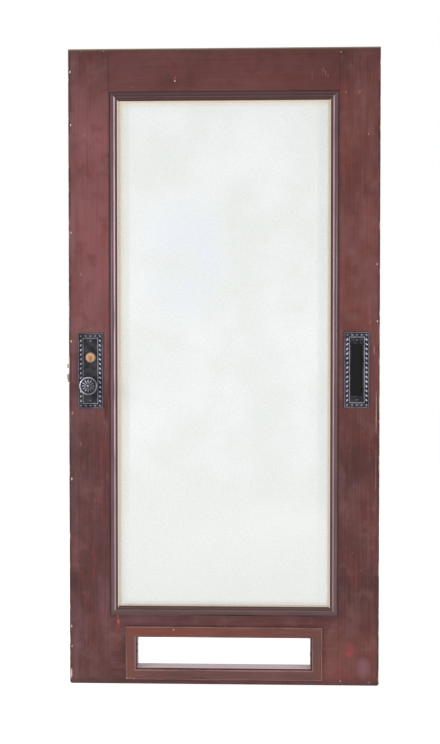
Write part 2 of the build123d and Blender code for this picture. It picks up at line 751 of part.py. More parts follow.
with BuildPart() as cylinder_cam:
    with BuildSketch(face_plane(FRONT, LOCK_X, PLUG_Z, -FACE_Y - PLUG_REAR_Y)):
        Circle(CAM_HUB_R)
        with Locations((0, -(CAM_REACH - CAM_TIP_R))):
            Circle(CAM_TIP_R)
        make_hull()
    extrude(amount=-CAM_T)
write(cylinder_cam, "cylinder_cam")

with BuildPart() as cylinder_set_screw:
    long_l = BACKSET - CYLINDER_BODY_D / 2 - SPRING_GAP
    with Locations(along_x(LOCK_EDGE, LONG_SCREW_Y, CYLINDER_Z)):
        Cylinder(LONG_SCREW_D / 2, long_l, align=ALONG)
write(cylinder_set_screw, "cylinder_set_screw")

# Mortise lock case
latch_slots = (
    (LATCH_LOW, LATCH_H),
    (GUARD_LOW, GUARD_H),
)
cover_spots = [
    (CASE_X0 + CASE_POST_SPOTS[0][0], LOCK_CASE_Z - CASE_H / 2 + CASE_POST_SPOTS[0][1]),
    (CASE_X1 + CASE_POST_SPOTS[1][0], LOCK_CASE_Z + CASE_H / 2 + CASE_POST_SPOTS[1][1]),
]

with BuildPart() as lock_case:
    with Locations((CASE_X, -CASE_T / 2, LOCK_CASE_Z)):
        Box(CASE_DEPTH, CASE_T - CASE_WALL, CASE_H, align=(Align.CENTER, Align.MIN, Align.CENTER))
    with Locations((CASE_X, -CASE_T / 2 + CASE_WALL, LOCK_CASE_Z)):
        Box(
            CASE_DEPTH - 2 * CASE_WALL,
            CASE_T,
            CASE_H - 2 * CASE_WALL,
            align=(Align.CENTER, Align.MIN, Align.CENTER),
            mode=Mode.SUBTRACT,
        )
    for x, z in cover_spots:
        with Locations(along_y(x, -CASE_T / 2 + CASE_WALL, z)):
            Cylinder(CASE_POST_R, COVER_Y + CASE_T / 2 - CASE_WALL, align=ALONG)
        with Locations(along_y(x, COVER_Y - COVER_SCREW_L, z)):
            Cylinder(
                COVER_SCREW_D / 2 + SCREW_FIT, COVER_SCREW_L, align=ALONG, mode=Mode.SUBTRACT
            )
    with Locations(along_y(LOCK_X, -CASE_T / 2, KNOB_Z)):
        Cylinder(HUB_R + HUB_FIT, CASE_WALL, align=ALONG, mode=Mode.SUBTRACT)
    with Locations(along_y(LOCK_X, -CASE_T / 2, CYLINDER_Z)):
        Cylinder(
            CYLINDER_BODY_D / 2 + PLATE_HOLE_GAP, CASE_WALL, align=ALONG, mode=Mode.SUBTRACT
        )
    for low, height in latch_slots:
        with Locations((CASE_X0 + CASE_WALL / 2, 0, low + height / 2)):
            Box(
                CASE_WALL, BOLT_T + 2 * BOLT_FIT, height + 2 * BOLT_FIT, mode=Mode.SUBTRACT
            )
    with Locations(along_x(CASE_X0, LONG_SCREW_Y, CYLINDER_Z)):
        Cylinder(LONG_SCREW_D / 2 + SCREW_FIT, CASE_WALL, align=ALONG, mode=Mode.SUBTRACT)
write(lock_case, "lock_case")

with BuildPart() as lock_case_cover:
    with Locations((CASE_X, COVER_Y + CASE_WALL / 2, LOCK_CASE_Z)):
        Box(CASE_DEPTH, CASE_WALL, CASE_H)
    with Locations(along_y(LOCK_X, COVER_Y, KNOB_Z)):
        Cylinder(HUB_R + HUB_FIT, CASE_WALL, align=ALONG, mode=Mode.SUBTRACT)
    for x, z in cover_spots:
        with Locations(along_y(x, COVER_Y, z)):
            Cylinder(
                COVER_SCREW_HEAD_D / 2 + SCREW_FIT, CASE_WALL, align=ALONG, mode=Mode.SUBTRACT
            )
write(lock_case_cover, "lock_case_cover")

with BuildPart() as lock_cover_screws:
    for x, z in cover_spots:
        with Locations(along_y(x, COVER_Y, z)):
            Cylinder(COVER_SCREW_HEAD_D / 2, COVER_SCREW_HEAD_T, align=ALONG)
        with Locations(along_y(x, COVER_Y - COVER_SCREW_L + SCREW_FIT, z)):
            Cylinder(COVER_SCREW_D / 2, COVER_SCREW_L - SCREW_FIT, align=ALONG)
write(lock_cover_screws, "lock_cover_screws")

front_screw_zs = screw_pair(LOCK_CASE_Z, LOCK_FRONT_H, FRONT_SCREW_INSET)
with BuildPart() as lock_front:
    with Locations((LOCK_EDGE + LOCK_FRONT_T / 2, 0, LOCK_CASE_Z)):
        Box(LOCK_FRONT_T, LOCK_FRONT_W, LOCK_FRONT_H)
    for low, height in latch_slots:
        with Locations((LOCK_EDGE + LOCK_FRONT_T / 2, 0, low + height / 2)):
            Box(
                LOCK_FRONT_T, BOLT_T + 2 * BOLT_FIT, height + 2 * BOLT_FIT, mode=Mode.SUBTRACT
            )
    with Locations(along_x(LOCK_EDGE, LONG_SCREW_Y, CYLINDER_Z)):
        Cylinder(LONG_SCREW_D / 2 + SCREW_FIT, LOCK_FRONT_T, align=ALONG, mode=Mode.SUBTRACT)
    for z in front_screw_zs:
        with Locations(along_x(LOCK_EDGE, 0, z)):
            Cylinder(
                SCREW_HEAD_D / 2 + SCREW_FIT, SCREW_HEAD_T, align=ALONG, mode=Mode.SUBTRACT
            )
            Cylinder(SCREW_D / 2 + SCREW_FIT, LOCK_FRONT_T, align=ALONG, mode=Mode.SUBTRACT)
write(lock_front, "lock_front")

with BuildPart() as lock_front_screws:
    for z in front_screw_zs:
        with Locations(along_x(LOCK_EDGE, 0, z)):
            Cylinder(SCREW_HEAD_D / 2, SCREW_HEAD_T, align=ALONG)
            Cylinder(SCREW_D / 2, LOCK_FRONT_T + SCREW_L - SCREW_FIT, align=ALONG)
write(lock_front_screws, "lock_front_screws")


def bolt_nose(low, height, out, length):
    """The nose of a bolt that slides through the lock's front, bevelled towards the outside."""
    tip = LOCK_EDGE - out
    with BuildPart() as nose:
        with BuildSketch(Plane.XY.offset(low)):
            Polygon(
                (tip, BOLT_T / 2),
                (tip, BOLT_T / 2 - BOLT_TIP_T),
                (LOCK_EDGE - BOLT_BLUNT, -BOLT_T / 2),
                (LOCK_EDGE + length, -BOLT_T / 2),
                (LOCK_EDGE + length, BOLT_T / 2),
                align=None,
            )
        extrude(amount=height)
    return nose


with BuildPart() as latch_bolt:
    nose_low = LATCH_LOW + TONGUE_H + TONGUE_FIT
    add(bolt_nose(nose_low, LATCH_LOW + LATCH_H - nose_low, LATCH_OUT, LATCH_BODY_L).part)
    with Locations((LOCK_EDGE + LATCH_BODY_L - CASE_WALL / 2, 0, LATCH_LOW)):
        Box(CASE_WALL, BOLT_T, LATCH_H, align=ALONG)
    with Locations((LOCK_EDGE + LATCH_BODY_L, 0, STEM_LOW)):
        Box(
            POST_X1 - LOCK_EDGE - LATCH_BODY_L,
            STEM_T,
            STEM_H,
            align=(Align.MIN, Align.CENTER, Align.MIN),
        )
    with Locations((POST_X0, 0, KNOB_Z + POST_LOW)):
        Box(
            POST_W,
            STEM_T,
            STEM_LOW - KNOB_Z - POST_LOW,
            align=(Align.MIN, Align.CENTER, Align.MIN),
        )
write(latch_bolt, "latch_bolt")

anti_friction_tongue = bolt_nose(LATCH_LOW, TONGUE_H, TONGUE_OUT, LATCH_BODY_L - CASE_WALL)
write(anti_friction_tongue, "anti_friction_tongue")

with BuildPart() as guard_bolt:
    add(bolt_nose(GUARD_LOW, GUARD_H, GUARD_OUT, GUARD_BODY_L).part)
    with Locations((LOCK_EDGE + GUARD_BODY_L, 0, GUARD_LOW + GUARD_TAIL_UP)):
        Box(
            GUARD_TAIL_L,
            STEM_T,
            GUARD_TAIL_H,
            align=(Align.MIN, Align.CENTER, Align.MIN),
        )
write(guard_bolt, "guard_bolt")

with BuildPart() as lock_hub:
    with Locations(along_y(LOCK_X, -CASE_T / 2, KNOB_Z)):
        Cylinder(HUB_R, CASE_T, align=ALONG)
    with Locations((LOCK_X, 0, KNOB_Z)):
        Box(HUB_ARM_W, STEM_T, HUB_ARM_REACH, align=ALONG)
        Box(
            SPINDLE_A + 2 * SPINDLE_FIT,
            CASE_T,
            SPINDLE_A + 2 * SPINDLE_FIT,
            mode=Mode.SUBTRACT,
        )
write(lock_hub, "lock_hub")


def leaf_spring(foot_z, pad_x, pad_z):
    """A strip that stands on the case's rear wall and leans on the end of a bolt's tail."""
    foot_x = CASE_IN_X1 - SPRING_T / 2
    lean_x = pad_x + SPRING_GAP + SPRING_T / 2
    with BuildPart() as spring:
        with BuildSketch(Plane.XZ.offset(-SPRING_W / 2)):
            with BuildLine() as strip:
                Polyline(
                    (foot_x, foot_z),
                    (foot_x, foot_z + SPRING_FOOT_H),
                    (lean_x, pad_z),
                    (lean_x, pad_z + SPRING_PAD_H),
                )
            trace(strip.edges(), line_width=SPRING_T)
        extrude(amount=SPRING_W)
    return spring


latch_spring = leaf_spring(LATCH_SPRING_FOOT_Z, POST_X1, STEM_LOW)
write(latch_spring, "latch_spring")
guard_spring = leaf_spring(GUARD_SPRING_FOOT_Z, GUARD_TAIL_X1, GUARD_LOW + GUARD_TAIL_UP)
write(guard_spring, "guard_spring")

# Letter plate, its flap and its inner plate
with BuildPart() as letter_plate:
    add(beaded_plate(FRONT, LETTER_X, LETTER_Z).part)
    with Locations((LETTER_X, -FACE_Y, LETTER_Z)):
        Box(
            SLOT_W,
            PLATE_T,
            SLOT_H,
            align=(Align.CENTER, Align.MAX, Align.CENTER),
            mode=Mode.SUBTRACT,
        )
    lug_reach = FLAP_PIN_BACK + FLAP_PIN_R + LUG_WALL
    for end in (-1, 1):
        with Locations((FLAP_PIN_X, -FACE_Y, LETTER_Z + end * (LUG_IN + LUG_T / 2))):
            Box(
                2 * (FLAP_PIN_R + LUG_WALL),
                lug_reach,
                LUG_T,
                align=(Align.CENTER, Align.MIN, Align.CENTER),
            )
        with Locations((FLAP_PIN_X, FLAP_PIN_Y, LETTER_Z + end * (LUG_IN + LUG_T / 2))):
            Cylinder(FLAP_PIN_R + FLAP_PIN_FIT, LUG_T, mode=Mode.SUBTRACT)
write(letter_plate, "letter_plate")

with BuildPart() as letter_flap:
    flap_low = LETTER_Z - FLAP_H / 2
    with Locations((FLAP_PIN_X, FLAP_FRONT_Y, flap_low)):
        Box(FLAP_W, FLAP_T, FLAP_H, align=(Align.MAX, Align.MIN, Align.MIN))
    with Locations((FLAP_PIN_X, FLAP_PIN_Y, SPRING_TOP_Z)):
        Cylinder(FLAP_BARREL_R, FLAP_H - FLAP_SPRING_H, align=ALONG)
    with Locations((FLAP_PIN_X, FLAP_PIN_Y, flap_low)):
        Box(
            2 * (FLAP_BARREL_R + FLAP_GAP),
            2 * LEAF_T,
            FLAP_SPRING_H + FLAP_GAP,
            align=ALONG,
            mode=Mode.SUBTRACT,
        )
        Cylinder(FLAP_PIN_R + FLAP_PIN_FIT, FLAP_H, align=ALONG, mode=Mode.SUBTRACT)
write(letter_flap, "letter_flap")

with BuildPart() as letter_flap_pin:
    with Locations((FLAP_PIN_X, FLAP_PIN_Y, LETTER_Z)):
        Cylinder(FLAP_PIN_R, 2 * LUG_OUT)
write(letter_flap_pin, "letter_flap_pin")

with BuildPart() as letter_flap_spring:
    with Locations((FLAP_PIN_X, FLAP_PIN_Y, LETTER_Z - FLAP_H / 2)):
        Cylinder(FLAP_SPRING_R, FLAP_SPRING_H - FLAP_GAP, align=ALONG)
    with Locations((FLAP_PIN_X, FLAP_BACK_Y, LETTER_Z - FLAP_H / 2 + FLAP_SPRING_H / 2)):
        Box(
            FLAP_SPRING_LEG,
            FLAP_SPRING_WIRE,
            FLAP_SPRING_WIRE,
            align=(Align.MAX, Align.MIN, Align.CENTER),
        )
    with Locations((FLAP_PIN_X, FLAP_PIN_Y, LETTER_Z - FLAP_H / 2)):
        Cylinder(
            FLAP_PIN_R + FLAP_SPRING_BORE_GAP, FLAP_SPRING_H, align=ALONG, mode=Mode.SUBTRACT
        )
write(letter_flap_spring, "letter_flap_spring")

with BuildPart() as letter_back_plate:
    with BuildSketch(face_plane(BACK, LETTER_X, LETTER_Z)):
        Rectangle(PLATE_W, PLATE_H)
        Rectangle(SLOT_W + 2 * BACK_SLOT_GAP, SLOT_H + 2 * BACK_SLOT_GAP, mode=Mode.SUBTRACT)
    extrude(amount=BACK_PLATE_T)
    outer_rim = letter_back_plate.faces().sort_by(Axis.Y)[-1].outer_wire().edges()
    chamfer(outer_rim, length=BACK_PLATE_BEVEL)
    for z in screw_pair(LETTER_Z, PLATE_H, SCREW_INSET):
        with Locations(face_plane(BACK, LETTER_X, z, BACK_PLATE_T).location):
            Hole(SCREW_D / 2 + SCREW_FIT, depth=BACK_PLATE_T)
write(letter_back_plate, "letter_back_plate")

write(plate_screws(FRONT, LETTER_X, LETTER_Z, PLATE_FIELD_FLOOR), "letter_plate_screws")
write(plate_screws(BACK, LETTER_X, LETTER_Z, BACK_PLATE_T), "letter_back_screws")
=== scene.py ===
from math import cos, pi, radians, sin
from random import Random

import bmesh
import bpy
from bpy.props import FloatProperty, FloatVectorProperty, IntProperty, PointerProperty
from mathutils import Matrix, Vector, noise


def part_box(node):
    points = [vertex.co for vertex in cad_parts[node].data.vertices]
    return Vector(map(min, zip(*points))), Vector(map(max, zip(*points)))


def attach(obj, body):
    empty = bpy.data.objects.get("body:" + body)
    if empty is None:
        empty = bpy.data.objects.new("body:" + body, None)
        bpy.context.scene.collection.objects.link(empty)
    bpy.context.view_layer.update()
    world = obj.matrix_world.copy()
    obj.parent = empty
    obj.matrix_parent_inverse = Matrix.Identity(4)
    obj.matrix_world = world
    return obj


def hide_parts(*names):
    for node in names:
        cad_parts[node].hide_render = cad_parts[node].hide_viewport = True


bl_info = {
    "name": "Glass door leaf",
    "version": (1, 0, 0),
    "blender": (4, 5, 0),
    "location": "View3D > Sidebar > Door",
    "description": "Dresses a painted door leaf with its glass, plates, knobs and screws",
    "category": "Object",
}

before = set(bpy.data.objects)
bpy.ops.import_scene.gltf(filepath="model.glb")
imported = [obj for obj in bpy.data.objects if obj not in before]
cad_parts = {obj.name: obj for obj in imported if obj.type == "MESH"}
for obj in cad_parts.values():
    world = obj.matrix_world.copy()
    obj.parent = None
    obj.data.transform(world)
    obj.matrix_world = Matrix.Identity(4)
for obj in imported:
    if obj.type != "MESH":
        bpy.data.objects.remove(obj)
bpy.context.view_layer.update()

# Places on the leaf, in metres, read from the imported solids
HINGE_STILE_LOW, HINGE_STILE_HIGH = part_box("hinge_stile")
GLASS_LOW, GLASS_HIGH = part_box("glass_pane")
FACE = -HINGE_STILE_LOW.y
TOP = HINGE_STILE_HIGH.z
EDGE_X = HINGE_STILE_HIGH.x
OPENING_X = HINGE_STILE_LOW.x
OPENING_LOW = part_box("bottom_rail")[1].z
OPENING_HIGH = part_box("front_bead_top")[1].z
MOULDING_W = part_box("front_bead_left")[1].x + OPENING_X
VENT_LOW, VENT_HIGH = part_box("vent_front_bottom")[0].z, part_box("vent_front_top")[1].z
VENT_OUT_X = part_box("vent_front_right")[1].x
VENT_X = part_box("vent_front_right")[0].x
VENT_TRIM_W, VENT_REVEAL = 0.031, 0.004
SILL = VENT_LOW + VENT_TRIM_W + VENT_REVEAL
MM = 0.001
FRONT, BACK = -1, 1
SHARP_FROM = 35

UPRIGHT_WOOD = ["lock_stile", "hinge_stile"]
LEVEL_WOOD = ["top_rail", "bottom_rail"]
VENT_UPRIGHT = [f"vent_{w}_{s}" for w in ("front", "back") for s in ("left", "right")]
VENT_LEVEL = [f"vent_{w}_{s}" for w in ("front", "back") for s in ("top", "bottom")]
BOLT_METAL = [
    "latch_bolt", "anti_friction_tongue", "guard_bolt", "lock_front", "lock_front_screws",
]
STEEL = [
    "knob_spindle", "knob_set_screws", "cylinder_set_screw", "lock_case", "lock_case_cover",
    "lock_cover_screws", "lock_hub", "latch_spring", "guard_spring", "letter_flap_pin",
    "letter_flap_spring",
]


def shade(red, green, blue):
    """A colour as seen on a screen, from 0 to 255, turned into Blender's linear RGBA."""
    tone = [c / 255 for c in (red, green, blue)]
    return [c / 12.92 if c <= 0.04045 else ((c + 0.055) / 1.055) ** 2.4 for c in tone] + [1.0]


def colour_property(name, description, *screen):
    return FloatVectorProperty(
        name=name, description=description, subtype="COLOR", size=4, min=0, max=1,
        default=shade(*screen),
    )


def length_property(name, description, metres):
    return FloatProperty(
        name=name, description=description, default=metres, min=0, unit="LENGTH",
        subtype="DISTANCE",
    )


def count_property(name, description, count):
    return IntProperty(name=name, description=description, default=count, min=2)


class DoorColours(bpy.types.PropertyGroup):
    """The paints, metals and glass that a user would change."""

    # The lock side's lighter red and the hinge side's darker brown are partly painted light,
    # brighter towards the left
    paint: colour_property("Paint", "Faded red gloss on the lock side", 150, 92, 92)
    paint_brown_and_shaded: colour_property("Brown paint", "Browner gloss on the hinge side", 136, 80, 73)
    paint_dark: colour_property("Dark paint", "Paint that has kept its depth", 68, 43, 44)
    bare_wood: colour_property("Bare wood", "Wood where the paint has chipped off", 205, 178, 150)
    olive: colour_property("Old coat", "Dusty older coat on the top edge", 150, 140, 122)
    bronze: colour_property("Bronze", "Dark metal of the plates and knobs", 60, 59, 65)
    # The worn bronze is also a painted highlight on the relief of plates, knobs and screws
    bronze_worn_and_lit: colour_property("Worn bronze", "Bronze rubbed bright on its relief", 186, 184, 200)
    brass: colour_property("Brass", "Turned face of the cylinder", 205, 160, 122)
    bolt: colour_property("Bolt metal", "Greyed brass of the bolts and lock front", 166, 154, 138)
    glass: colour_property("Glass", "Pale tint of the obscure pane", 230, 234, 231)
    putty: colour_property("Putty", "Beige putty line round the pane", 236, 220, 202)


class DoorDetail(bpy.types.PropertyGroup):
    """Sizes of the details that Blender adds to the solids."""

    ripple: length_property("Pane ripple", "Depth of the waves in the obscure glass", 0.00025)
    bead_long: length_property("Bead length", "Longer axis of each cast bead", 0.0112)
    bead_short: length_property("Bead width", "Shorter axis of each cast bead", 0.0070)
    bead_rise: length_property("Bead height", "How far a bead stands above its channel", 0.0024)
    beads_up: count_property("Beads up", "Beads along each long side", 16)
    beads_across: count_property("Beads across", "Beads along each short side", 5)
    petals: count_property("Petals", "Petals in the knob's rosette", 12)
    petal_width: length_property("Petal width", "Widest part of a petal", 0.0053)
    screw_slot: length_property("Screw slot", "Width of the slot in each screw head", 0.0009)


class Signal:
    """A value inside a material. Python's operators on it add Math nodes."""

    def __init__(self, finish, socket):
        self.finish = finish
        self.socket = socket

    def maths(self, operation, *values):
        inputs = dict(enumerate(values))
        return self.finish.node("ShaderNodeMath", {"operation": operation}, inputs)

    def __add__(self, other):
        return self.maths("ADD", self, other)

    def __sub__(self, other):
        return self.maths("SUBTRACT", self, other)

    def __rsub__(self, other):
        return self.maths("SUBTRACT", other, self)

    def __mul__(self, other):
        return self.maths("MULTIPLY", self, other)

    def __abs__(self):
        return self.maths("ABSOLUTE", self)

    def larger(self, other):
        return self.maths("MAXIMUM", self, other)

    def smaller(self, other):
        return self.maths("MINIMUM", self, other)


class Finish:
    """A node material: its shader, and the one way in which other nodes are added."""

    SOCKETS = {"specular": "Specular IOR Level"}

    def __init__(self, name, **constants):
        self.material = bpy.data.materials.new(name)
        self.material.use_nodes = True
        self.tree = self.material.node_tree
        self.shader = self.tree.nodes["Principled BSDF"]
        self.place = self.node("ShaderNodeTexCoord", output="Object")
        apart = self.node("ShaderNodeSeparateXYZ", inputs={0: self.place})
        self.x, self.y, self.z = (Signal(self, s) for s in apart.socket.node.outputs)
        for word, value in constants.items():
            self.feed(self.SOCKETS.get(word, word.replace("_", " ").title()), value)

    def node(self, kind, settings=None, inputs=None, output=0):
        made = self.tree.nodes.new(kind)
        for setting, value in (settings or {}).items():
            setattr(made, setting, value)
        for socket, value in (inputs or {}).items():
            self.set_socket(made.inputs[socket], value)
        return Signal(self, made.outputs[output])

    def set_socket(self, socket, value):
        if isinstance(value, Signal):
            self.tree.links.new(value.socket, socket)
        else:
            socket.default_value = value

    def feed(self, socket, value):
        self.set_socket(self.shader.inputs[socket], value)

    def mottle(self, scale, detail=2.0, stretch=(1, 1, 1), roughness=0.5):
        """Soft noise from 0 to 1. The scale is in cycles for each metre."""
        place = self.node("ShaderNodeMapping", inputs={"Vector": self.place, "Scale": stretch})
        sockets = {"Vector": place, "Scale": scale, "Detail": detail, "Roughness": roughness}
        return self.node("ShaderNodeTexNoise", inputs=sockets)

    def over(self, value, low, high):
        """0 where the value is below low, 1 above high, and smooth between."""
        return self.node(
            "ShaderNodeMapRange",
            {"interpolation_type": "SMOOTHSTEP"},
            {"Value": value, "From Min": low, "From Max": high},
        )

    def blend(self, factor, below, above):
        """Two colours mixed by a factor from 0 to 1."""
        return self.node(
            "ShaderNodeMix", {"data_type": "RGBA"}, {0: factor, 6: below, 7: above}, 2
        )

    def coats(self, colour, *layers):
        """Lay tones over a colour. A layer is where it lies, its strength and its screen tone."""
        for where, strength, tone in layers:
            colour = self.blend(where * strength, colour, shade(*tone))
        return colour

    def squared_reach(self, x, z):
        """The square of the distance from an axis along Y."""
        from_x, from_z = self.x - x, self.z - z
        return from_x * from_x + from_z * from_z

    def relief(self, height, distance, strength=1.0):
        """Turn a height from 0 to 1 into the shader's normal."""
        sockets = {"Height": height, "Distance": distance, "Strength": strength}
        self.feed("Normal", self.node("ShaderNodeBump", inputs=sockets))


def along(grain, lengthwise, crosswise):
    """Noise cycles for each metre, with their own number along the grain."""
    return [lengthwise if axis == grain else crosswise for axis in "xyz"]


def dress(nodes, finish):
    """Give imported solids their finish."""
    for name in nodes:
        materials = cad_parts[name].data.materials
        materials.clear()
        materials.append(finish.material)


# Soft stains and painted shadows on the front face: middle x and z, half width and half height in
# mm, strength, tone
SOFT_STAINS_AND_SHADOWS = (
    (410, 118, 20, 30, 0.6, (140, 64, 62)), (405, 103, 16, 15, 0.5, (160, 70, 67)),
    (452, 58, 30, 42, 0.5, (136, 100, 110)), (-449, 1782, 8, 8, 0.5, (156, 106, 104)),
    (-344, 200, 8, 30, 0.8, (142, 62, 54)), (-350, 150, 10, 60, 0.5, (126, 56, 46)),
    # Painted shadows: (-382, 900) is the knob's cast shadow on the stile, (-478, 1040) and (402,
    # 1020) the shadows beside the lock plate and the letter plate
    (-157, 1978, 9, 30, 0.7, (142, 68, 60)), (-382, 900, 9, 60, 0.75, (70, 38, 38)),
    (-478, 1040, 9, 130, 0.35, (66, 42, 44)), (402, 1020, 4, 130, 0.7, (56, 32, 30)),
    (-478, 1250, 16, 120, 0.3, (124, 66, 66)), (-440, 1160, 30, 30, 0.35, (112, 84, 78)),
    (430, 880, 40, 28, 0.35, (86, 62, 54)), (420, 1190, 36, 20, 0.35, (106, 78, 70)),
    (470, 1000, 16, 190, 0.35, (116, 58, 58)),
)


# Bands where the paint changes, each from where it starts to where it is full, in metres: heights,
# then distances in from the edges, top and faces, and out from the pane's and vent's openings; the
# sill line is a painted highlight
LIGHTER_FROM, LIGHTER_UNTIL = (0.72, 1.3), (2.12, 1.75)
TOP_RAIL_FROM, ABOVE_BOTTOM_RAIL = (1.8, 1.88), (0.2, 0.24)
LIGHTER_FOOT, GRIMY_FOOT = (0.3, 0.05), (0.03, 0.0)
BLOOM_BAND, GRIME_BAND = (0.034, 0.024), (0.012, 0.002)
ARRIS_BAND, ARRIS_DEPTH = (0.0032, 0.0014), (0.006, 0.001)
UNDER_TOP_BAND, DUST_BAND = (0.022, 0.006), (0.0055, 0.0022)
BY_GLASS_BAND = (0.008, 0.0)
SILL_HIGHLIGHT_LINE, SILL_END, SILL_DEPTH = (0.0016, 0.0006), (0.001, 0.0), (0.0, 0.001)
FRONT_HALF = (0.0, -0.01)


def painted_wood(name, colours, grain):
    """Old red-brown gloss paint with brush streaks along the grain, lighter bands, grime and chips,
    with painted light: a lighter lock side, shadows of the knob and plates, and a highlight on the
    vent's sill.
    """
    paint = Finish(name, coat_weight=0.04, coat_roughness=0.3, specular=0.12)
    side = abs(paint.x)
    from_edge, from_top, from_face = EDGE_X - side, TOP - paint.z, FACE - abs(paint.y)
    streaks = paint.mottle(1.0, 3.0, along(grain, 6, 380))
    clouds = paint.mottle(4.5, 4.0)
    zones = paint.mottle(7.0, 3.0, along(grain, 0.8, 2.2), 0.6)
    patches = paint.mottle(24, 3.0)

    # across runs from the lock side to the hinge side: its lighter lock side is partly painted
    # light, brighter towards the left
    across = paint.over(paint.x, -EDGE_X, EDGE_X)
    # Lighter at mid height and again near the foot
    lighter_band = paint.over(paint.z, *LIGHTER_FROM) * paint.over(paint.z, *LIGHTER_UNTIL)
    foot = paint.over(paint.z, *LIGHTER_FOOT)
    tone = lighter_band * (0.33 - across * 0.17) + foot * (across * 0.1 + 0.08)
    if grain == "x":
        tone = tone + paint.over(paint.z, *TOP_RAIL_FROM) * 0.24
    tone = tone + across * 0.06 + clouds * 0.62 + zones * 0.34 - 0.24
    # Red on the lock side to darker brown on the hinge side: real tones, and partly painted light
    red = paint.blend(across, colours.paint, colours.paint_brown_and_shaded)
    colour = paint.blend(paint.over(tone, 0.0, 1.0), colours.paint_dark, red)

    bloom = paint.over(paint.x + EDGE_X, *BLOOM_BAND) * paint.over(clouds, 0.3, 0.5)
    bloom = bloom.larger(paint.over(zones, 0.48, 0.68) * 0.7)
    colour = paint.coats(
        colour,
        (bloom, 0.32, (110, 84, 90)),
        (paint.over(zones, 0.48, 0.34), 0.3, (122, 62, 56)),
        (paint.over(streaks, 0.5, 0.75), 0.16, (156, 98, 94)),
        (paint.over(streaks, 0.5, 0.28), 0.22, (50, 26, 27)),
        (paint.over(patches, 0.52, 0.72), 0.3, (122, 88, 86)),
        (paint.over(patches, 0.48, 0.3), 0.3, (76, 42, 42)),
    )
    outside = paint.over(paint.y, *FRONT_HALF)
    # Each spot lays a stain, or one of the painted shadows, over the paint
    for x, z, half_w, half_h, strength, stain_and_shadow_tone in SOFT_STAINS_AND_SHADOWS:
        away_x = (paint.x - x * MM) * (1 / (half_w * MM))
        away_z = (paint.z - z * MM) * (1 / (half_h * MM))
        spot = paint.over(away_x * away_x + away_z * away_z + patches * 0.8, 1.4, 0.3)
        colour = paint.coats(colour, (spot * outside, strength, stain_and_shadow_tone))

    worn = paint.over(paint.mottle(150, 2.0), 0.7, 0.76)
    by_glass = paint.over(side - OPENING_X, *BY_GLASS_BAND)
    by_glass = by_glass * paint.over(paint.z, *ABOVE_BOTTOM_RAIL)
    grimy = paint.over(paint.mottle(1.0, 3.0, (1, 1, 14)), 0.35, 0.6)
    colour = paint.coats(
        colour,
        (worn, 0.4, (158, 104, 98)),
        (by_glass, 0.5, (66, 40, 42)),
        (paint.over(paint.z, *GRIMY_FOOT), 0.6, (74, 56, 54)),
        (paint.over(from_edge, *GRIME_BAND) * grimy, 0.8, (62, 40, 38)),
    )
    arris = paint.over(from_edge, *ARRIS_BAND) * paint.over(from_face, *ARRIS_DEPTH)
    chips = arris * paint.over(paint.mottle(1.0, 4.0, (220, 220, 30), 0.65), 0.55, 0.59)
    colour = paint.blend(chips, colour, colours.bare_wood)
    colour = paint.coats(colour, (paint.over(from_top, *UNDER_TOP_BAND), 0.45, (84, 64, 54)))
    on_top = paint.over(from_top, *DUST_BAND)
    dusty = paint.blend(paint.mottle(14, 4.0, (1, 4, 1)), shade(104, 90, 78), colours.olive)
    colour = paint.blend(on_top, colour, dusty)
    # A painted highlight along the vent's sill
    lit_sill = paint.over(abs(paint.z - SILL), *SILL_HIGHLIGHT_LINE) * paint.over(side - VENT_X, *SILL_END)
    colour = paint.coats(colour, (lit_sill * paint.over(from_face, *SILL_DEPTH), 0.9, (214, 194, 196)))
    paint.feed("Base Color", colour)
    paint.feed("Roughness", streaks * 0.16 + clouds * 0.2 + on_top * 0.3 + 0.26)
    paint.relief(streaks * 0.5 + worn * 0.4 - chips * 0.9, 0.0005, 0.5)
    return paint


# Bands of the vent's trim, in metres: in from its outer edge, and out from its opening; the arris
# bands carry a painted highlight
VENT_ARRIS_HIGHLIGHT = (0.0018, 0.0008)
VENT_INNER_ARRIS_HIGHLIGHT = (VENT_TRIM_W - 0.0024, VENT_TRIM_W - 0.0014)
VENT_TOP_MEMBER = (VENT_TRIM_W, VENT_TRIM_W - 0.004)
VENT_ENDS = (0.0, 0.012)
VENT_ORANGE_SIDE = (0.2, -0.25)


def vent_paint(name, grain):
    """Redder paint on the vent's trim, with a patchy painted highlight along its arrises, none on
    the top member's inner arris, and orange on its top member.
    """
    paint = Finish(name, coat_weight=0.05, coat_roughness=0.3, specular=0.14)
    side, below_top = abs(paint.x), VENT_HIGH - paint.z
    streaks = paint.mottle(1.0, 3.0, along(grain, 8, 380))
    clouds = paint.mottle(9.0, 4.0)
    inset = (VENT_OUT_X - side).smaller(below_top).smaller(paint.z - VENT_LOW)
    top = paint.over(below_top, *VENT_TOP_MEMBER)
    orange = top * (paint.over(paint.x, *VENT_ORANGE_SIDE) * 0.5 + 0.5)
    ends = paint.over(side - VENT_X, *VENT_ENDS) * paint.over(clouds, 0.42, 0.62)
    # Painted highlights along the arrises, none on the top member's inner arris
    inner = paint.over(inset, *VENT_INNER_ARRIS_HIGHLIGHT) * (1 - top)
    arris = paint.over(inset, *VENT_ARRIS_HIGHLIGHT).larger(inner)
    colour = paint.coats(
        paint.blend(clouds, shade(84, 57, 55), shade(118, 80, 76)),
        (orange.larger(ends * 0.55), 0.75, (124, 66, 53)),
        (paint.over(streaks, 0.5, 0.75), 0.2, (160, 112, 104)),
        (paint.over(streaks, 0.5, 0.3), 0.25, (56, 32, 32)),
        (arris, paint.over(clouds + streaks * 0.6, 0.5, 0.9), (164, 130, 126)),
    )
    paint.feed("Base Color", colour)
    paint.feed("Roughness", streaks * 0.16 + clouds * 0.2 + 0.28)
    paint.relief(streaks + clouds, 0.0004, 0.5)
    return paint


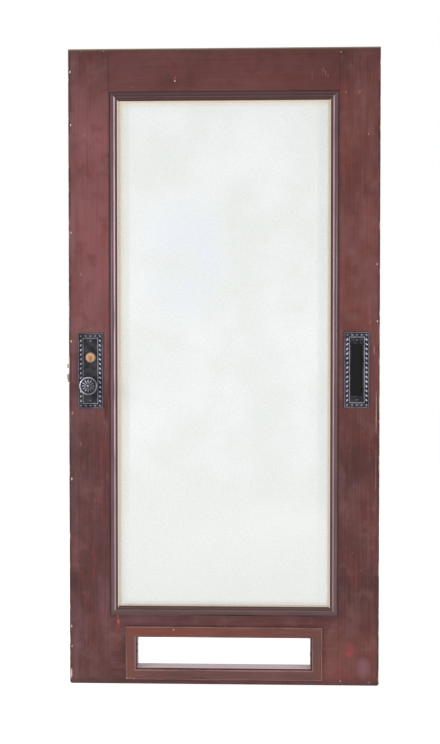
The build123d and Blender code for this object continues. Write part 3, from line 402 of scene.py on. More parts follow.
# Bands across a moulding, in metres in from its outer edge, and out from its putty: a painted
# highlight on the arris and the round, and painted shade in the quirk, on the fillet and by the
# putty
MOULDING_ARRIS_HIGHLIGHT = (0.0016, 0.0006)
QUIRK_SHADE = (0.0036, 0.0024)
ROUND_FROM, ROUND_UNTIL = (0.0122, 0.0140), (0.0186, 0.0168)
FILLET_FROM, FILLET_UNTIL = (0.0178, 0.0186), (0.0206, 0.0196)
INNER_EDGE_SHADE = (0.0036, 0.0022)
PUTTY_SOFT = 0.0008
# Heights over which the painted highlight on the round grows stronger up the door
HIGHLIGHT_HIGHER_UP = (0.25, 1.0)


def moulding_paint_lit_and_shaded(name, grain, inset, smear, crest_light_and_shade, flank_light_and_shade, arris_highlight):
    """Gloss paint on a moulding, with painted shade in its quirk and a painted highlight on its
    round.

    The inset gives how far a point lies inside the moulding's outer edge, from the finish, and
    the smear how many metres of its inner edge have putty on them. The tones are as on a screen,
    each side's own painted light and shade.
    """
    paint = Finish(name, coat_weight=0.2, coat_roughness=0.2, specular=0.25)
    inward = inset(paint)
    to_putty = MOULDING_W - smear - inward
    streaks = paint.mottle(1.0, 3.0, along(grain, 9, 420))
    patches = paint.mottle(1.0, 3.0, along(grain, 5, 60))
    rounded = paint.over(inward, *ROUND_FROM) * paint.over(inward, *ROUND_UNTIL)
    rubbed_and_lit = paint.over(patches + streaks * 0.5, 0.4, 0.75)
    rubbed_and_lit = rubbed_and_lit * (paint.over(paint.z, *HIGHLIGHT_HIGHER_UP) * 0.5 + 0.5)
    fillet = paint.over(inward, *FILLET_FROM) * paint.over(inward, *FILLET_UNTIL)
    # Painted light and shade: a patchy highlight on the round and arris, shade in the quirk, on the
    # fillet and by the putty
    colour = paint.coats(
        paint.blend(patches * 0.7 + streaks * 0.3, shade(62, 38, 38), shade(*flank_light_and_shade)),
        (rounded, rubbed_and_lit, crest_light_and_shade),
        (fillet.larger(paint.over(to_putty, *INNER_EDGE_SHADE)), 0.8, (50, 30, 27)),
        (paint.over(inward, *QUIRK_SHADE), 0.85, (40, 23, 25)),
        (paint.over(inward, *MOULDING_ARRIS_HIGHLIGHT), paint.over(patches, 0.3, 0.6), arris_highlight),
        (paint.over(to_putty, 0.0, -PUTTY_SOFT), 0.9, (226, 210, 192)),
    )
    paint.feed("Base Color", colour)
    paint.feed("Roughness", streaks * 0.2 + 0.18)
    paint.relief(streaks, 0.0004, 0.5)
    return paint


# Places of wear and painted highlight on the cast metal, in metres: the knob's rim by radius, the
# side of it that the painted highlight favours, and the plates' columns of beads by x, the lock
# plate's left one duller
KNOB_RIM_START, KNOB_RIM_FULL = 0.0240, 0.0256
LAMP_SIDE_HIGHLIGHT = (0.016, -0.016)
DULL_COLUMN = (-0.448, -0.42)


def cast_bronze(name, colours, start, full, worn=1.0, hub=None):
    """Dark cast metal, worn bright where its relief stands out between two heights, in mm, this
    brightness partly a painted highlight.

    A hub gives the axis of a knob, whose rim is bright too, as a painted highlight strongest on its
    upper left side.
    """
    metal = Finish(name, metallic=0.6, specular=0.35)
    grain = metal.mottle(620, 3.0)
    clouds = metal.mottle(55, 3.0)
    rubbed_and_lit = metal.over(clouds + grain * 0.4, 0.45, 0.8) * 0.4 + 0.6
    # Raised relief made bright: worn, and also a painted highlight
    high = metal.over(abs(metal.y), FACE + start * MM, FACE + full * MM)
    if hub:
        x, z = hub
        rim = metal.over(metal.squared_reach(x, z), KNOB_RIM_START**2, KNOB_RIM_FULL**2)
        # The knob's painted highlight, strongest on its upper left side
        lamp_side_highlight = metal.over(metal.x - x - (metal.z - z) * 0.5, *LAMP_SIDE_HIGHLIGHT) * 0.65 + 0.35
        high = high.larger(rim) * lamp_side_highlight
    else:
        high = high * (metal.over(metal.x, *DULL_COLUMN) * 0.3 + 0.6)
    high = high * rubbed_and_lit * worn
    colour = metal.blend(metal.over(clouds, 0.3, 0.7), shade(26, 26, 30), colours.bronze)
    colour = metal.blend(high, colour, colours.bronze_worn_and_lit)
    dust = metal.over(metal.mottle(160, 4.0), 0.58, 0.72)
    metal.feed("Base Color", metal.coats(colour, (dust, 0.2, (112, 100, 98))))
    metal.feed("Roughness", grain * 0.2 - high * 0.12 + 0.27)
    metal.relief(grain + clouds * 0.6, 0.0003, 0.5)
    return metal


def plain_metal(name, colour, dull, roughness=0.34, grain=900, metallic=0.9):
    """A machined or rolled metal, duller in clouds and with a fine grain."""
    metal = Finish(name, metallic=metallic)
    clouds = metal.mottle(90, 3.0)
    marks = metal.mottle(grain, 2.0)
    metal.feed("Base Color", metal.blend(metal.over(clouds, 0.35, 0.7), dull, colour))
    metal.feed("Roughness", marks * 0.18 + clouds * 0.14 + roughness - 0.12)
    metal.relief(marks, 0.00015, 0.4)
    return metal


# Tints of the pane, in metres: a lilac patch and two soft bands of painted shade where the back
# mouldings show through, each with a middle, then its stained edges and its duller foot, from where
# they start to where they are full
LILAC_X, LILAC_WIDE = -0.1, (0.2, 0.03)
LILAC_Z, LILAC_HIGH = 1.38, (0.26, 0.05)
RIGHT_SHADE_X, RIGHT_SHADE_BAND = 0.318, (0.02, 0.006)
LEFT_SHADE_X, LEFT_SHADE_BAND = -0.316, (0.014, 0.004)
CREAM_LEFT, CREAM_RIGHT = (-0.318, -0.332), (0.328, 0.341)
PEACH_LOW, PEACH_HIGH = (0.2685, 0.2625), (1.872, 1.880)
DULL_FOOT = (0.9, 0.3)


def obscure_glass(colours):
    """A pale pane with a fine texture, faint clouds, soft bands of painted shade and dirt near its
    edges.
    """
    glass = Finish("obscure_glass", specular=0.3)
    fine = glass.mottle(150, 3.0)
    clouds = glass.mottle(5, 4.0)
    lilac = glass.over(abs(glass.x - LILAC_X), *LILAC_WIDE)
    lilac = lilac * glass.over(abs(glass.z - LILAC_Z), *LILAC_HIGH) * glass.over(clouds, 0.4, 0.62)
    # Painted shade of the back mouldings, seen through the pane near its sides
    shade_band = glass.over(abs(glass.x - RIGHT_SHADE_X), *RIGHT_SHADE_BAND)
    shade_band = shade_band.larger(glass.over(abs(glass.x - LEFT_SHADE_X), *LEFT_SHADE_BAND))
    cream = glass.over(glass.x, *CREAM_LEFT).larger(glass.over(glass.x, *CREAM_RIGHT) * 0.5)
    peach = glass.over(glass.z, *PEACH_LOW).larger(glass.over(glass.z, *PEACH_HIGH) * 0.5)
    colour = glass.coats(
        glass.blend(glass.over(clouds, 0.35, 0.7), colours.glass, shade(238, 241, 240)),
        (lilac, 0.4, (218, 226, 250)),
        (shade_band, 0.4, (208, 214, 204)),
        (cream, 0.7, (226, 214, 196)),
        (peach, 0.8, (236, 212, 190)),
        (glass.over(glass.z, *DULL_FOOT), 0.8, (222, 225, 220)),
        (glass.over(fine, 0.5, 0.8), 0.15, (248, 250, 249)),
    )
    glass.feed("Base Color", colour)
    glass.feed("Alpha", fine * 0.08 + cream * 0.15 + peach * 0.15 + 0.52)
    glass.feed("Roughness", fine * 0.2 + 0.18)
    glass.relief(glass.mottle(420, 2.0) + fine, 0.0006, 0.5)
    return glass


def finished(mesh_data, name, body, finishes, replaces=()):
    """Turn a bmesh into a piece with outward normals and its finishes, parented to its body, hiding
    the solids it replaces.
    """
    bmesh.ops.remove_doubles(mesh_data, verts=mesh_data.verts, dist=1e-6)
    bmesh.ops.dissolve_degenerate(mesh_data, edges=mesh_data.edges, dist=1e-7)
    bmesh.ops.recalc_face_normals(mesh_data, faces=mesh_data.faces)
    mesh = bpy.data.meshes.new(name)
    mesh_data.to_mesh(mesh)
    mesh_data.free()
    mesh.shade_smooth()
    mesh.set_sharp_from_angle(angle=radians(SHARP_FROM))
    for finish in finishes:
        mesh.materials.append(finish.material)
    piece = bpy.data.objects.new(name, mesh)
    bpy.context.scene.collection.objects.link(piece)
    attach(piece, body)
    if replaces:
        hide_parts(*replaces)
    return piece


def turned(mesh_data, section, side, x, z, steps):
    """Spin a section of (radius, height above the leaf's face), in mm, about an axis along Y."""
    verts = [
        mesh_data.verts.new((x + radius * MM, side * (FACE + out * MM), z))
        for radius, out in section
    ]
    edges = [mesh_data.edges.new(pair) for pair in zip(verts, verts[1:])]
    bmesh.ops.spin(
        mesh_data, geom=verts + edges, cent=(x, 0, z), axis=(0, 1, 0), dvec=(0, 0, 0),
        angle=2 * pi, steps=steps, use_merge=True, use_duplicate=False,
    )


def arc(centre, radius, start, end, steps):
    """Points of a section along an arc, with its angles in degrees."""
    for i in range(steps + 1):
        angle = radians(start + (end - start) * i / steps)
        yield centre[0] + radius * cos(angle), centre[1] + radius * sin(angle)


def raised(mesh_data, faces, offset):
    """Extrude faces by an offset, keep the old ones, and return the new ones."""
    made = bmesh.ops.extrude_face_region(mesh_data, geom=faces, use_keep_orig=True)["geom"]
    verts = [item for item in made if isinstance(item, bmesh.types.BMVert)]
    bmesh.ops.translate(mesh_data, verts=verts, vec=offset)
    return [item for item in made if isinstance(item, bmesh.types.BMFace)]


def on_face(low, high, side):
    """The middle of a box, moved onto the leaf's front or back face."""
    return Vector(((low.x + high.x) / 2, side * FACE, (low.z + high.z) / 2))


def block(mesh_data, low, high):
    """A closed box between two corners."""
    middle = (Vector(low) + Vector(high)) / 2
    size = Vector(high) - Vector(low)
    place = Matrix.Translation(middle) @ Matrix.Diagonal((*size, 1))
    bmesh.ops.create_cube(mesh_data, size=1, matrix=place)


def cut(piece, cutter_mesh):
    """Take the shape in a bmesh away from a piece, and keep only the piece."""
    bmesh.ops.recalc_face_normals(cutter_mesh, faces=cutter_mesh.faces)
    mesh = bpy.data.meshes.new("cutter")
    cutter_mesh.to_mesh(mesh)
    cutter_mesh.free()
    cutter = bpy.data.objects.new("cutter", mesh)
    bpy.context.scene.collection.objects.link(cutter)
    modifier = piece.modifiers.new("hole", "BOOLEAN")
    modifier.operation = "DIFFERENCE"
    modifier.solver = "EXACT"
    modifier.object = cutter
    graph = bpy.context.evaluated_depsgraph_get()
    result = bpy.data.meshes.new_from_object(piece.evaluated_get(graph))
    piece.modifiers.clear()
    old = piece.data
    piece.data = result
    bpy.data.meshes.remove(old)
    bpy.data.objects.remove(cutter)
    bpy.data.meshes.remove(mesh)


class DOOR_OT_woodwork(bpy.types.Operator):
    """Paint the stiles, rails, mouldings and vent trims"""

    bl_idname = "door.woodwork"
    bl_label = "Woodwork"

    def execute(self, context):
        colours = context.scene.door_colours
        dress(UPRIGHT_WOOD, painted_wood("upright_paint", colours, "z"))
        dress(LEVEL_WOOD, painted_wood("level_paint", colours, "x"))
        dress(VENT_UPRIGHT, vent_paint("upright_vent_paint", "z"))
        dress(VENT_LEVEL, vent_paint("level_vent_paint", "x"))
        left, right = (lambda at: at.x + OPENING_X), (lambda at: OPENING_X - at.x)
        top, bottom = (lambda at: OPENING_HIGH - at.z), (lambda at: at.z - OPENING_LOW)
        # Each side's grain, inset and smear of putty, then the tones of its crest, flank and edge,
        # which are that side's painted light and shade: highlights on crest and edge, the top side
        # darkest as painted shade
        for place, grain, inset, smear, *tones in (
            ("left", "z", left, 0.0038, (206, 180, 192), (134, 98, 106), (128, 76, 78)),
            ("right", "z", right, 0.0028, (184, 156, 162), (124, 92, 96), (120, 76, 74)),
            ("top", "x", top, 0.0, (92, 64, 62), (76, 48, 47), (96, 62, 58)),
            ("bottom", "x", bottom, 0.0, (122, 94, 92), (118, 88, 86), (196, 170, 164)),
        ):
            finish = moulding_paint_lit_and_shaded(f"{place}_moulding_paint_lit_and_shaded", grain, inset, smear, *tones)
            dress([f"front_bead_{place}", f"back_bead_{place}"], finish)
        putty = Finish("glazing_putty", roughness=0.8)
        crumbs = putty.mottle(240, 4.0)
        putty.feed("Base Color", putty.blend(crumbs, shade(204, 180, 158), colours.putty))
        putty.relief(crumbs, 0.0006)
        dress(["glazing_putty"], putty)
        rust = plain_metal("rusty_nails", shade(96, 62, 50), shade(58, 38, 32), 0.7, 1400, 0.3)
        dress(["vent_nail_stubs"], rust)
        return {"FINISHED"}


# Marks on the front face: its tint, middle x and z, width, height and lean, in mm and degrees
MARKS = (
    # the top rail's nicks, flecks and lines
    ("pink", -157, 1962, 3.0, 15, 28), ("pale", -157, 1953, 4.6, 8.0, -35),
    ("pink", -461, 2049, 7.0, 3.0, 0), ("pale", -387, 2050, 2.6, 3.0, 0),
    ("pink", -298, 1934, 3.0, 5.0, 0), ("pink", -376, 1702, 2.2, 8.0, 0),
    ("pink", 283, 1972, 1.2, 38, 0), ("pink", 318, 1984, 2.2, 20, 6),
    ("pink", 326, 1975, 2.0, 24, -5), ("pink", 334, 1966, 1.8, 18, 8),
    # the upper hinge stile
    ("pale", 375, 2041, 4.0, 3.2, 20), ("pale", 391, 1913, 3.2, 3.0, 0),
    ("pink", 436, 1915, 6.0, 7.0, 30), ("pale", 464, 1780, 3.0, 3.4, 0),
    # the hinge stile's edge
    ("pink", 471, 1178, 3.0, 15, 32), ("pink", 484, 1087, 3.4, 36, -3),
    ("pale", 491, 895, 1.4, 165, 0), ("grey", 490.5, 700, 1.0, 180, 0),
    ("pale", 492, 1364, 3.0, 9, 0), ("pale", 494, 1181, 4.0, 8, 0),
    # the lock stile and the red streak at its foot
    ("pink", -462, 1334, 3.2, 15, -8), ("pink", -464, 783, 2.0, 16, 0),
    ("pink", -343, 204, 5.0, 18, -8), ("pink", -345, 222, 4.0, 9, 0),
    # the vent's trim and the bottom rail's scuffs, lines and spots
    ("pale", -162, 181, 6.0, 4.4, 0), ("grey", -313, 22, 9, 3.6, 12),
    ("grey", -303, 24, 10, 2.8, -8), ("grey", -292, 21, 8, 3.2, 5),
    ("pink", -210, 19, 60, 2.0, 0), ("pink", -60, 18, 110, 1.8, 0),
    ("dark", -227, 32, 5.0, 5.0, 0), ("dark", -162, 39, 4.0, 5.0, 0),
    ("dark", -71, 24, 4.4, 5.0, 0),
    # the foot on the hinge side
    ("pink", 339, 74, 2.4, 6.0, 0), ("pale", 378, 14, 3.0, 5.0, 0),
    ("grey", 470, 11, 9.0, 3.4, -5),
    # chips down the lock stile's edge
    ("pale", -496, 1984, 5.0, 11, 0), ("pale", -494, 1814, 4.4, 9, 0),
    ("pale", -494, 1467, 3.6, 8, 0), ("pale", -495, 1117, 3.8, 10, 0),
    ("pink", -491, 884, 8.0, 14, 10), ("pale", -494, 669, 4.0, 12, 0),
    ("pale", -496, 188, 3.6, 11, 0), ("pale", -495, 122, 3.2, 10, 0),
    ("pale", -497, 32, 5.0, 40, 2),
)
MARK_PROUD, MARK_LAYER, MARK_SUNK = 0.1 * MM, 0.025 * MM, 0.5 * MM
MARK_SIDES, MARK_RAGGED, MARK_SEED = 14, (0.62, 1.0), 7


class DOOR_OT_wear(bpy.types.Operator):
    """Add the scratches, chips and scuffs of the outside face"""

    bl_idname = "door.wear"
    bl_label = "Wear"

    def execute(self, context):
        colours = context.scene.door_colours
        tints = {
            "pink": (shade(176, 102, 104), shade(140, 84, 86)),
            "pale": (shade(216, 196, 178), colours.bare_wood),
            "grey": (shade(170, 148, 142), shade(130, 104, 100)),
            "dark": (shade(44, 30, 30), shade(60, 40, 38)),
        }
        finishes = []
        for name, (above, below) in tints.items():
            flake = Finish(f"{name}_mark", roughness=0.6)
            flake.feed("Base Color", flake.blend(flake.mottle(260, 4.0), below, above))
            finishes.append(flake)
        order = list(tints)
        random = Random(MARK_SEED)
        shape = bmesh.new()
        trim_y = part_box("vent_front_top")[0].y
        upright = Matrix.Rotation(pi / 2, 4, "X")
        for tint, x, z, width, height, lean in MARKS:
            proud = FACE
            if abs(x * MM) < VENT_OUT_X and VENT_LOW < z * MM < VENT_HIGH:
                proud = -trim_y
            ring = bmesh.ops.create_circle(
                shape, cap_ends=True, segments=MARK_SIDES, radius=0.5, matrix=upright
            )["verts"]
            for vert in ring:
                reach = random.uniform(*MARK_RAGGED) * MM
                vert.co = Vector((vert.co.x * width * reach, 0, vert.co.z * height * reach))
            place = Matrix.Translation((x * MM, -proud + MARK_SUNK, z * MM))
            place @= Matrix.Rotation(radians(lean), 4, "Y")
            bmesh.ops.transform(shape, matrix=place, verts=ring)
            top = list({face for vert in ring for face in vert.link_faces})
            for face in top:
                face.material_index = order.index(tint)
            layer = MARK_PROUD + MARK_LAYER * (len(order) - order.index(tint))
            raised(shape, top, (0, -MARK_SUNK - layer, 0))
        finished(shape, "wear_marks", "leaf", finishes)
        return {"FINISHED"}


PANE_CELLS = (92, 212)
COARSE_WAVES, FINE_WAVES, FINE_SHARE = 70, 140, 0.6
WAVE_ROOM = 4  # wave depths that the pane is thinner by, so that it stays inside its solid


class DOOR_OT_glass(bpy.types.Operator):
    """Make the rippled obscure pane"""

    bl_idname = "door.glass"
    bl_label = "Glass"

    def execute(self, context):
        ripple = context.scene.door_detail.ripple
        middle = (GLASS_LOW + GLASS_HIGH) / 2
        size = GLASS_HIGH - GLASS_LOW
        pane = bmesh.new()
        place = Matrix.Translation(middle) @ Matrix.Rotation(pi / 2, 4, "X")
        place @= Matrix.Diagonal((size.x, size.z, 1, 1))
        across, up = PANE_CELLS
        bmesh.ops.create_grid(pane, x_segments=across, y_segments=up, size=0.5, matrix=place)
        for vert in pane.verts:
            fine = noise.noise(vert.co * FINE_WAVES)
            vert.co.y += ripple * (noise.noise(vert.co * COARSE_WAVES) + FINE_SHARE * fine)
        bmesh.ops.recalc_face_normals(pane, faces=pane.faces)
        if pane.faces[0].normal.y > 0:
            bmesh.ops.reverse_faces(pane, faces=pane.faces)
        thickness = size.y - WAVE_ROOM * ripple
        bmesh.ops.translate(pane, verts=pane.verts, vec=(0, -thickness / 2, 0))
        raised(pane, pane.faces[:], (0, thickness, 0))
        finish = obscure_glass(context.scene.door_colours)
        finished(pane, "rippled_pane", "leaf", [finish], ["glass_pane"])
        return {"FINISHED"}


# Section of a beaded plate from its outer edge inwards, as distance in and height, the middle of
# its channel and the channel's height, in mm
PLATE_SECTION = (
    (0, 3.1), (0.5, 3.8), (1.2, 4.1), (2.2, 4.15), (2.9, 3.9), (3.3, 3.4), (3.5, 2.8),
    (14.9, 2.8), (15.0, 4.0), (15.4, 4.55), (16.1, 4.7), (16.9, 4.5), (17.3, 3.8), (17.5, 2.4),
)
CHANNEL_MIDDLE, CHANNEL_FLOOR = 9.2, 2.8
BEAD_LEAN, END_BEAD_SHARE = 32, 0.7
# The holes through a plate, in metres
HOLE_REACH, HOLE_SIDES = 0.03, 48
KNOB_HOLE_R, CYLINDER_GAP = 0.0103, 0.0003
FLAP_LAP, FLAP_PIN_LAP = 0.0017, 0.0043


class DOOR_OT_plates(bpy.types.Operator):
    """Make the beaded plates of the lock and of the letter slot"""

    bl_idname = "door.plates"
    bl_label = "Plates"

    def execute(self, context):
        metal = cast_bronze("plate_bronze", context.scene.door_colours, 3.6, 4.9)
        for node in ("escutcheon_front", "escutcheon_back", "letter_plate"):
            low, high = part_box(node)
            side = BACK if low.y > 0 else FRONT
            plate = self.plate(low, high, side)
            made = finished(plate, f"{node}_cast", "leaf", [metal], [node])
            self.cut_holes(made, node, side)
            self.add_beads(context.scene.door_detail, made, low, high, side)
        dress(["letter_back_plate"], metal)
        return {"FINISHED"}

    def plate(self, low, high, side):
        """A flat blank, raised and then stepped inwards along the section."""
        plate = bmesh.new()
        width, height = high.x - low.x, high.z - low.z
        turn = Matrix.Rotation(-side * pi / 2, 4, "X")
        place = Matrix.Translation(on_face(low, high, side)) @ turn
        place @= Matrix.Diagonal((width, height, 1, 1))
        bmesh.ops.create_grid(plate, x_segments=1, y_segments=1, size=0.5, matrix=place)
        last_in, last_up = PLATE_SECTION[0]
        top = raised(plate, plate.faces[:], (0, side * last_up * MM, 0))
        bmesh.ops.recalc_face_normals(plate, faces=plate.faces)
        for inwards, up in PLATE_SECTION[1:]:
            bmesh.ops.inset_region(
                plate, faces=top, thickness=(inwards - last_in) * MM, depth=(up - last_up) * MM,
                use_boundary=True, use_even_offset=True,
            )
            last_in, last_up = inwards, up
        return plate

    def add_beads(self, detail, piece, low, high, side):
        """Slanted beads round the channel, leaning opposite ways on its two sides."""
        middle = on_face(low, high, side)
        half_x = (high.x - low.x) / 2 - CHANNEL_MIDDLE * MM
        half_z = (high.z - low.z) / 2 - CHANNEL_MIDDLE * MM
        rows, columns = detail.beads_up, detail.beads_across
        full, low_rise = detail.bead_rise, END_BEAD_SHARE * detail.bead_rise
        spots = []
        for row in range(rows):
            z = half_z * (2 * row / (rows - 1) - 1)
            rise = low_rise if row in (0, rows - 1) else full
            spots += [(-half_x, z, BEAD_LEAN, rise), (half_x, z, -BEAD_LEAN, rise)]
        for column in range(1, columns - 1):
            x = half_x * (2 * column / (columns - 1) - 1)
            lean = 90 if abs(x) < MM else 90 + (BEAD_LEAN if x < 0 else -BEAD_LEAN)
            spots += [(x, -half_z, lean, low_rise), (x, half_z, lean, low_rise)]
        beads = bmesh.new()
        beads.from_mesh(piece.data)
        for x, z, lean, rise in spots:
            place = Matrix.Translation(middle + Vector((x, side * CHANNEL_FLOOR * MM, z)))
            place @= Matrix.Rotation(radians(lean), 4, "Y")
            place @= Matrix.Diagonal((detail.bead_short / 2, rise, detail.bead_long / 2, 1))
            bead = bmesh.ops.create_uvsphere(
                beads, u_segments=12, v_segments=8, radius=1, matrix=place
            )["verts"]
            for face in {face for vert in bead for face in vert.link_faces}:
                face.smooth = True
        beads.to_mesh(piece.data)
        beads.free()

    def cut_holes(self, plate, node, side):
        """Open the letter slot, or the holes for the knob's shank and the cylinder."""
        holes = bmesh.new()
        if node == "letter_plate":
            low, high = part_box("letter_flap")
            low = (low.x + FLAP_LAP, -FACE - HOLE_REACH, low.z + FLAP_LAP)
            high = (high.x - FLAP_PIN_LAP, -FACE + HOLE_REACH, high.z - FLAP_LAP)
            block(holes, low, high)
        else:
            self.round_hole(holes, on_face(*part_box("knob_front"), side), KNOB_HOLE_R)
            if side == FRONT:
                low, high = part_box("cylinder_shell")
                radius = (high.x - low.x) / 2 + CYLINDER_GAP
                self.round_hole(holes, on_face(low, high, side), radius)
        cut(plate, holes)

    def round_hole(self, holes, middle, radius):
        place = Matrix.Translation(middle) @ Matrix.Rotation(pi / 2, 4, "X")
        bmesh.ops.create_cone(
            holes, cap_ends=True, segments=HOLE_SIDES, radius1=radius, radius2=radius,
            depth=2 * HOLE_REACH, matrix=place,
        )


# Section of a knob from its shank to its boss: radius and height above the leaf's face, in mm
KNOB_SHANK = (
    (0, 0), (10, 0), (10, 5.3), (11.4, 5.5), (11.9, 6.4), (11.4, 7.4), (10.2, 7.9), (10, 9),
    (10, 21), (9.4, 24.5), (8.7, 27.5), (8.5, 29.5), (8.9, 31.5), (10.4, 34.5), (13.6, 37.8),
    (18.2, 40.6), (23.4, 42.3),
)
KNOB_RIM = ((25.5, 46.4), 3.5, -75, 105, 10)
KNOB_DISH = (
    (23.4, 48.6), (22.4, 47.6), (19, 47.7), (15, 48.1), (11, 48.5), (7.0, 48.9), (4.0, 49.2),
    (2.9, 49.8), (2.5, 50.8), (1.6, 51.3), (0, 51.5),
)
KNOB_STEPS = 72
PETAL_FROM, PETAL_TO = 2.6, 22.2
PETAL_BASE, PETAL_RISE = 48.0, 2.9
PETAL_FULLNESS, PETAL_TAPER = 0.66, 0.44


class DOOR_OT_knobs(bpy.types.Operator):
    """Turn the two knobs with their rims and rosettes"""

    bl_idname = "door.knobs"
    bl_label = "Knobs"

    def execute(self, context):
        colours = context.scene.door_colours
        low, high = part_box("knob_front")
        hub = ((low.x + high.x) / 2, (low.z + high.z) / 2)
        metal = cast_bronze("knob_bronze", colours, 49.1, 50.3, hub=hub)
        detail = context.scene.door_detail
        section = [*KNOB_SHANK, *arc(*KNOB_RIM), *KNOB_DISH]
        for node, side in (("knob_front", FRONT), ("knob_back", BACK)):
            low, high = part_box(node)
            x, z = (low.x + high.x) / 2, (low.z + high.z) / 2
            knob = bmesh.new()
            turned(knob, section, side, x, z, KNOB_STEPS)
            for petal in range(detail.petals):
                turn = 2 * pi * petal / detail.petals
                self.petal(knob, detail.petal_width, side, x, z, turn)
            finished(knob, f"{node}_turned", "knob_set", [metal], [node])
        return {"FINISHED"}

    def petal(self, knob, width, side, x, z, turn):
        """One raised petal, fuller towards the rim, lying in the knob's dish."""
        middle = (PETAL_FROM + PETAL_TO) / 2 * MM
        half = (PETAL_TO - PETAL_FROM) / 2 * MM
        verts = bmesh.ops.create_uvsphere(knob, u_segments=12, v_segments=10, radius=1)["verts"]
        for vert in verts:
            half_width = width / 2 * (PETAL_FULLNESS + PETAL_TAPER * vert.co.z)
            vert.co *= Vector((half_width, PETAL_RISE * MM, half))
        place = Matrix.Translation((x, side * (FACE + PETAL_BASE * MM), z))
        place @= Matrix.Rotation(turn, 4, "Y") @ Matrix.Translation((0, 0, middle))
        bmesh.ops.transform(knob, matrix=place, verts=verts)


# Rings of the cylinder's face, as shares of the plug's radius, then in metres, and the depth at
# which the keyway turns dark with painted shade
PLUG_EDGE = (1.02, 0.9)
JOINT_SHARE, JOINT_SOFT = 1.06, (1e-5, 3e-6)
TARNISH_EDGE, RIM_EDGE = (0.0085, 0.005), (0.0128, 0.0148)
KEYWAY_SHADE_DEPTH = (0.0003, 0.0008)


class DOOR_OT_cylinder(bpy.types.Operator):
    """Finish the cylinder, its plug and its collar"""

    bl_idname = "door.cylinder"
    bl_label = "Cylinder"

    def execute(self, context):
        colours = context.scene.door_colours
        dress(["cylinder_shell", "cylinder_plug"], self.turned_brass(colours))
        dress(["cylinder_cam"], plain_metal("cam_brass", colours.brass, shade(166, 122, 90)))
        dress(["cylinder_collar"], cast_bronze("collar_bronze", colours, 4.6, 5.2, worn=0.25))
        return {"FINISHED"}

    def turned_brass(self, colours):
        """Brass with faint lathe rings, browner round the plug and dark inside the keyway as
        painted shade.
        """
        low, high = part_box("cylinder_plug")
        shell_low, shell_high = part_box("cylinder_shell")
        x, plug_r = (low.x + high.x) / 2, (high.x - low.x) / 2
        brass = Finish("turned_brass", metallic=0.55, specular=0.4)
        clouds = brass.mottle(260, 3.0)
        rings = brass.mottle(1.0, 2.0, (90, 1, 90))
        to_plug = brass.squared_reach(x, (low.z + high.z) / 2)
        to_shell = brass.squared_reach(x, (shell_low.z + shell_high.z) / 2)
        plug = brass.over(to_plug, *((share * plug_r) ** 2 for share in PLUG_EDGE))
        tarnish = brass.over(to_shell, *(radius**2 for radius in TARNISH_EDGE))
        rim = brass.over(to_shell, *(radius**2 for radius in RIM_EDGE))
        joint = brass.over(abs(to_plug - (JOINT_SHARE * plug_r) ** 2), *JOINT_SOFT)
        # Painted shade: near black inside the keyway, behind the plug's face
        keyway = brass.over(brass.y - low.y, *KEYWAY_SHADE_DEPTH) * plug
        colour = brass.coats(
            brass.blend(brass.over(clouds, 0.35, 0.7), shade(186, 146, 116), colours.brass),
            (tarnish * brass.over(rings, 0.3, 0.5), 0.75, (176, 104, 62)),
            (joint, 0.6, (104, 66, 44)),
            (rim, 0.6, (112, 78, 58)),
            (keyway, 1.0, (22, 15, 12)),
        )
        brass.feed("Base Color", colour)
        brass.feed("Roughness", clouds * 0.2 + 0.3)
        brass.relief(clouds, 0.0002, 0.4)
        return brass


class DOOR_OT_lock(bpy.types.Operator):
    """Finish the mortise lock's case, bolts, hub and springs"""

    bl_idname = "door.lock"
    bl_label = "Lock"

    def execute(self, context):
        colours = context.scene.door_colours
        bolt = plain_metal("greyed_brass", colours.bolt, shade(138, 126, 112), 0.42, 1100, 0.6)
        dress(BOLT_METAL, bolt)
        steel = plain_metal("oiled_steel", shade(150, 150, 152), shade(92, 88, 84), 0.4)
        dress(STEEL, steel)
        return {"FINISHED"}


class DOOR_OT_letter_flap(bpy.types.Operator):
    """Finish the black flap behind the letter slot"""

    bl_idname = "door.letter_flap"
    bl_label = "Letter flap"

    def execute(self, context):
        sheet = Finish("black_sheet", specular=0.15)
        clouds = sheet.mottle(40, 4.0)
        scuffs = sheet.mottle(1.0, 3.0, (500, 500, 60))
        colour = sheet.coats(
            sheet.blend(clouds, shade(8, 8, 9), shade(22, 22, 23)),
            (sheet.over(scuffs, 0.62, 0.75), 0.3, (50, 49, 49)),
        )
        sheet.feed("Base Color", colour)
        sheet.feed("Roughness", clouds * 0.2 + scuffs * 0.15 + 0.45)
        sheet.relief(clouds + scuffs * 0.4, 0.0004, 0.4)
        dress(["letter_flap"], sheet)
        return {"FINISHED"}


# Pairs of screws: the solid, its side, and how high its heads sit above the leaf, in mm
SCREW_PAIRS = (
    ("escutcheon_front_screws", FRONT, 2.4),
    ("escutcheon_back_screws", BACK, 2.4),
    ("letter_plate_screws", FRONT, 2.4),
    ("letter_back_screws", BACK, 2.2),
)
SCREW_HEAD_R, SCREW_SHANK_R, SCREW_LENGTH = 3.5, 1.5, 15.9
SCREW_HEAD = (
    (SCREW_HEAD_R, 0), (SCREW_HEAD_R, 0.35), (3.2, 0.72), (2.5, 0.98), (1.4, 1.15), (0, 1.2),
)
SCREW_STEPS, SCREW_SEED = 24, 3
SLOT_FLOOR, SLOT_TOP, SLOT_HALF = 0.5, 3, 5 * MM


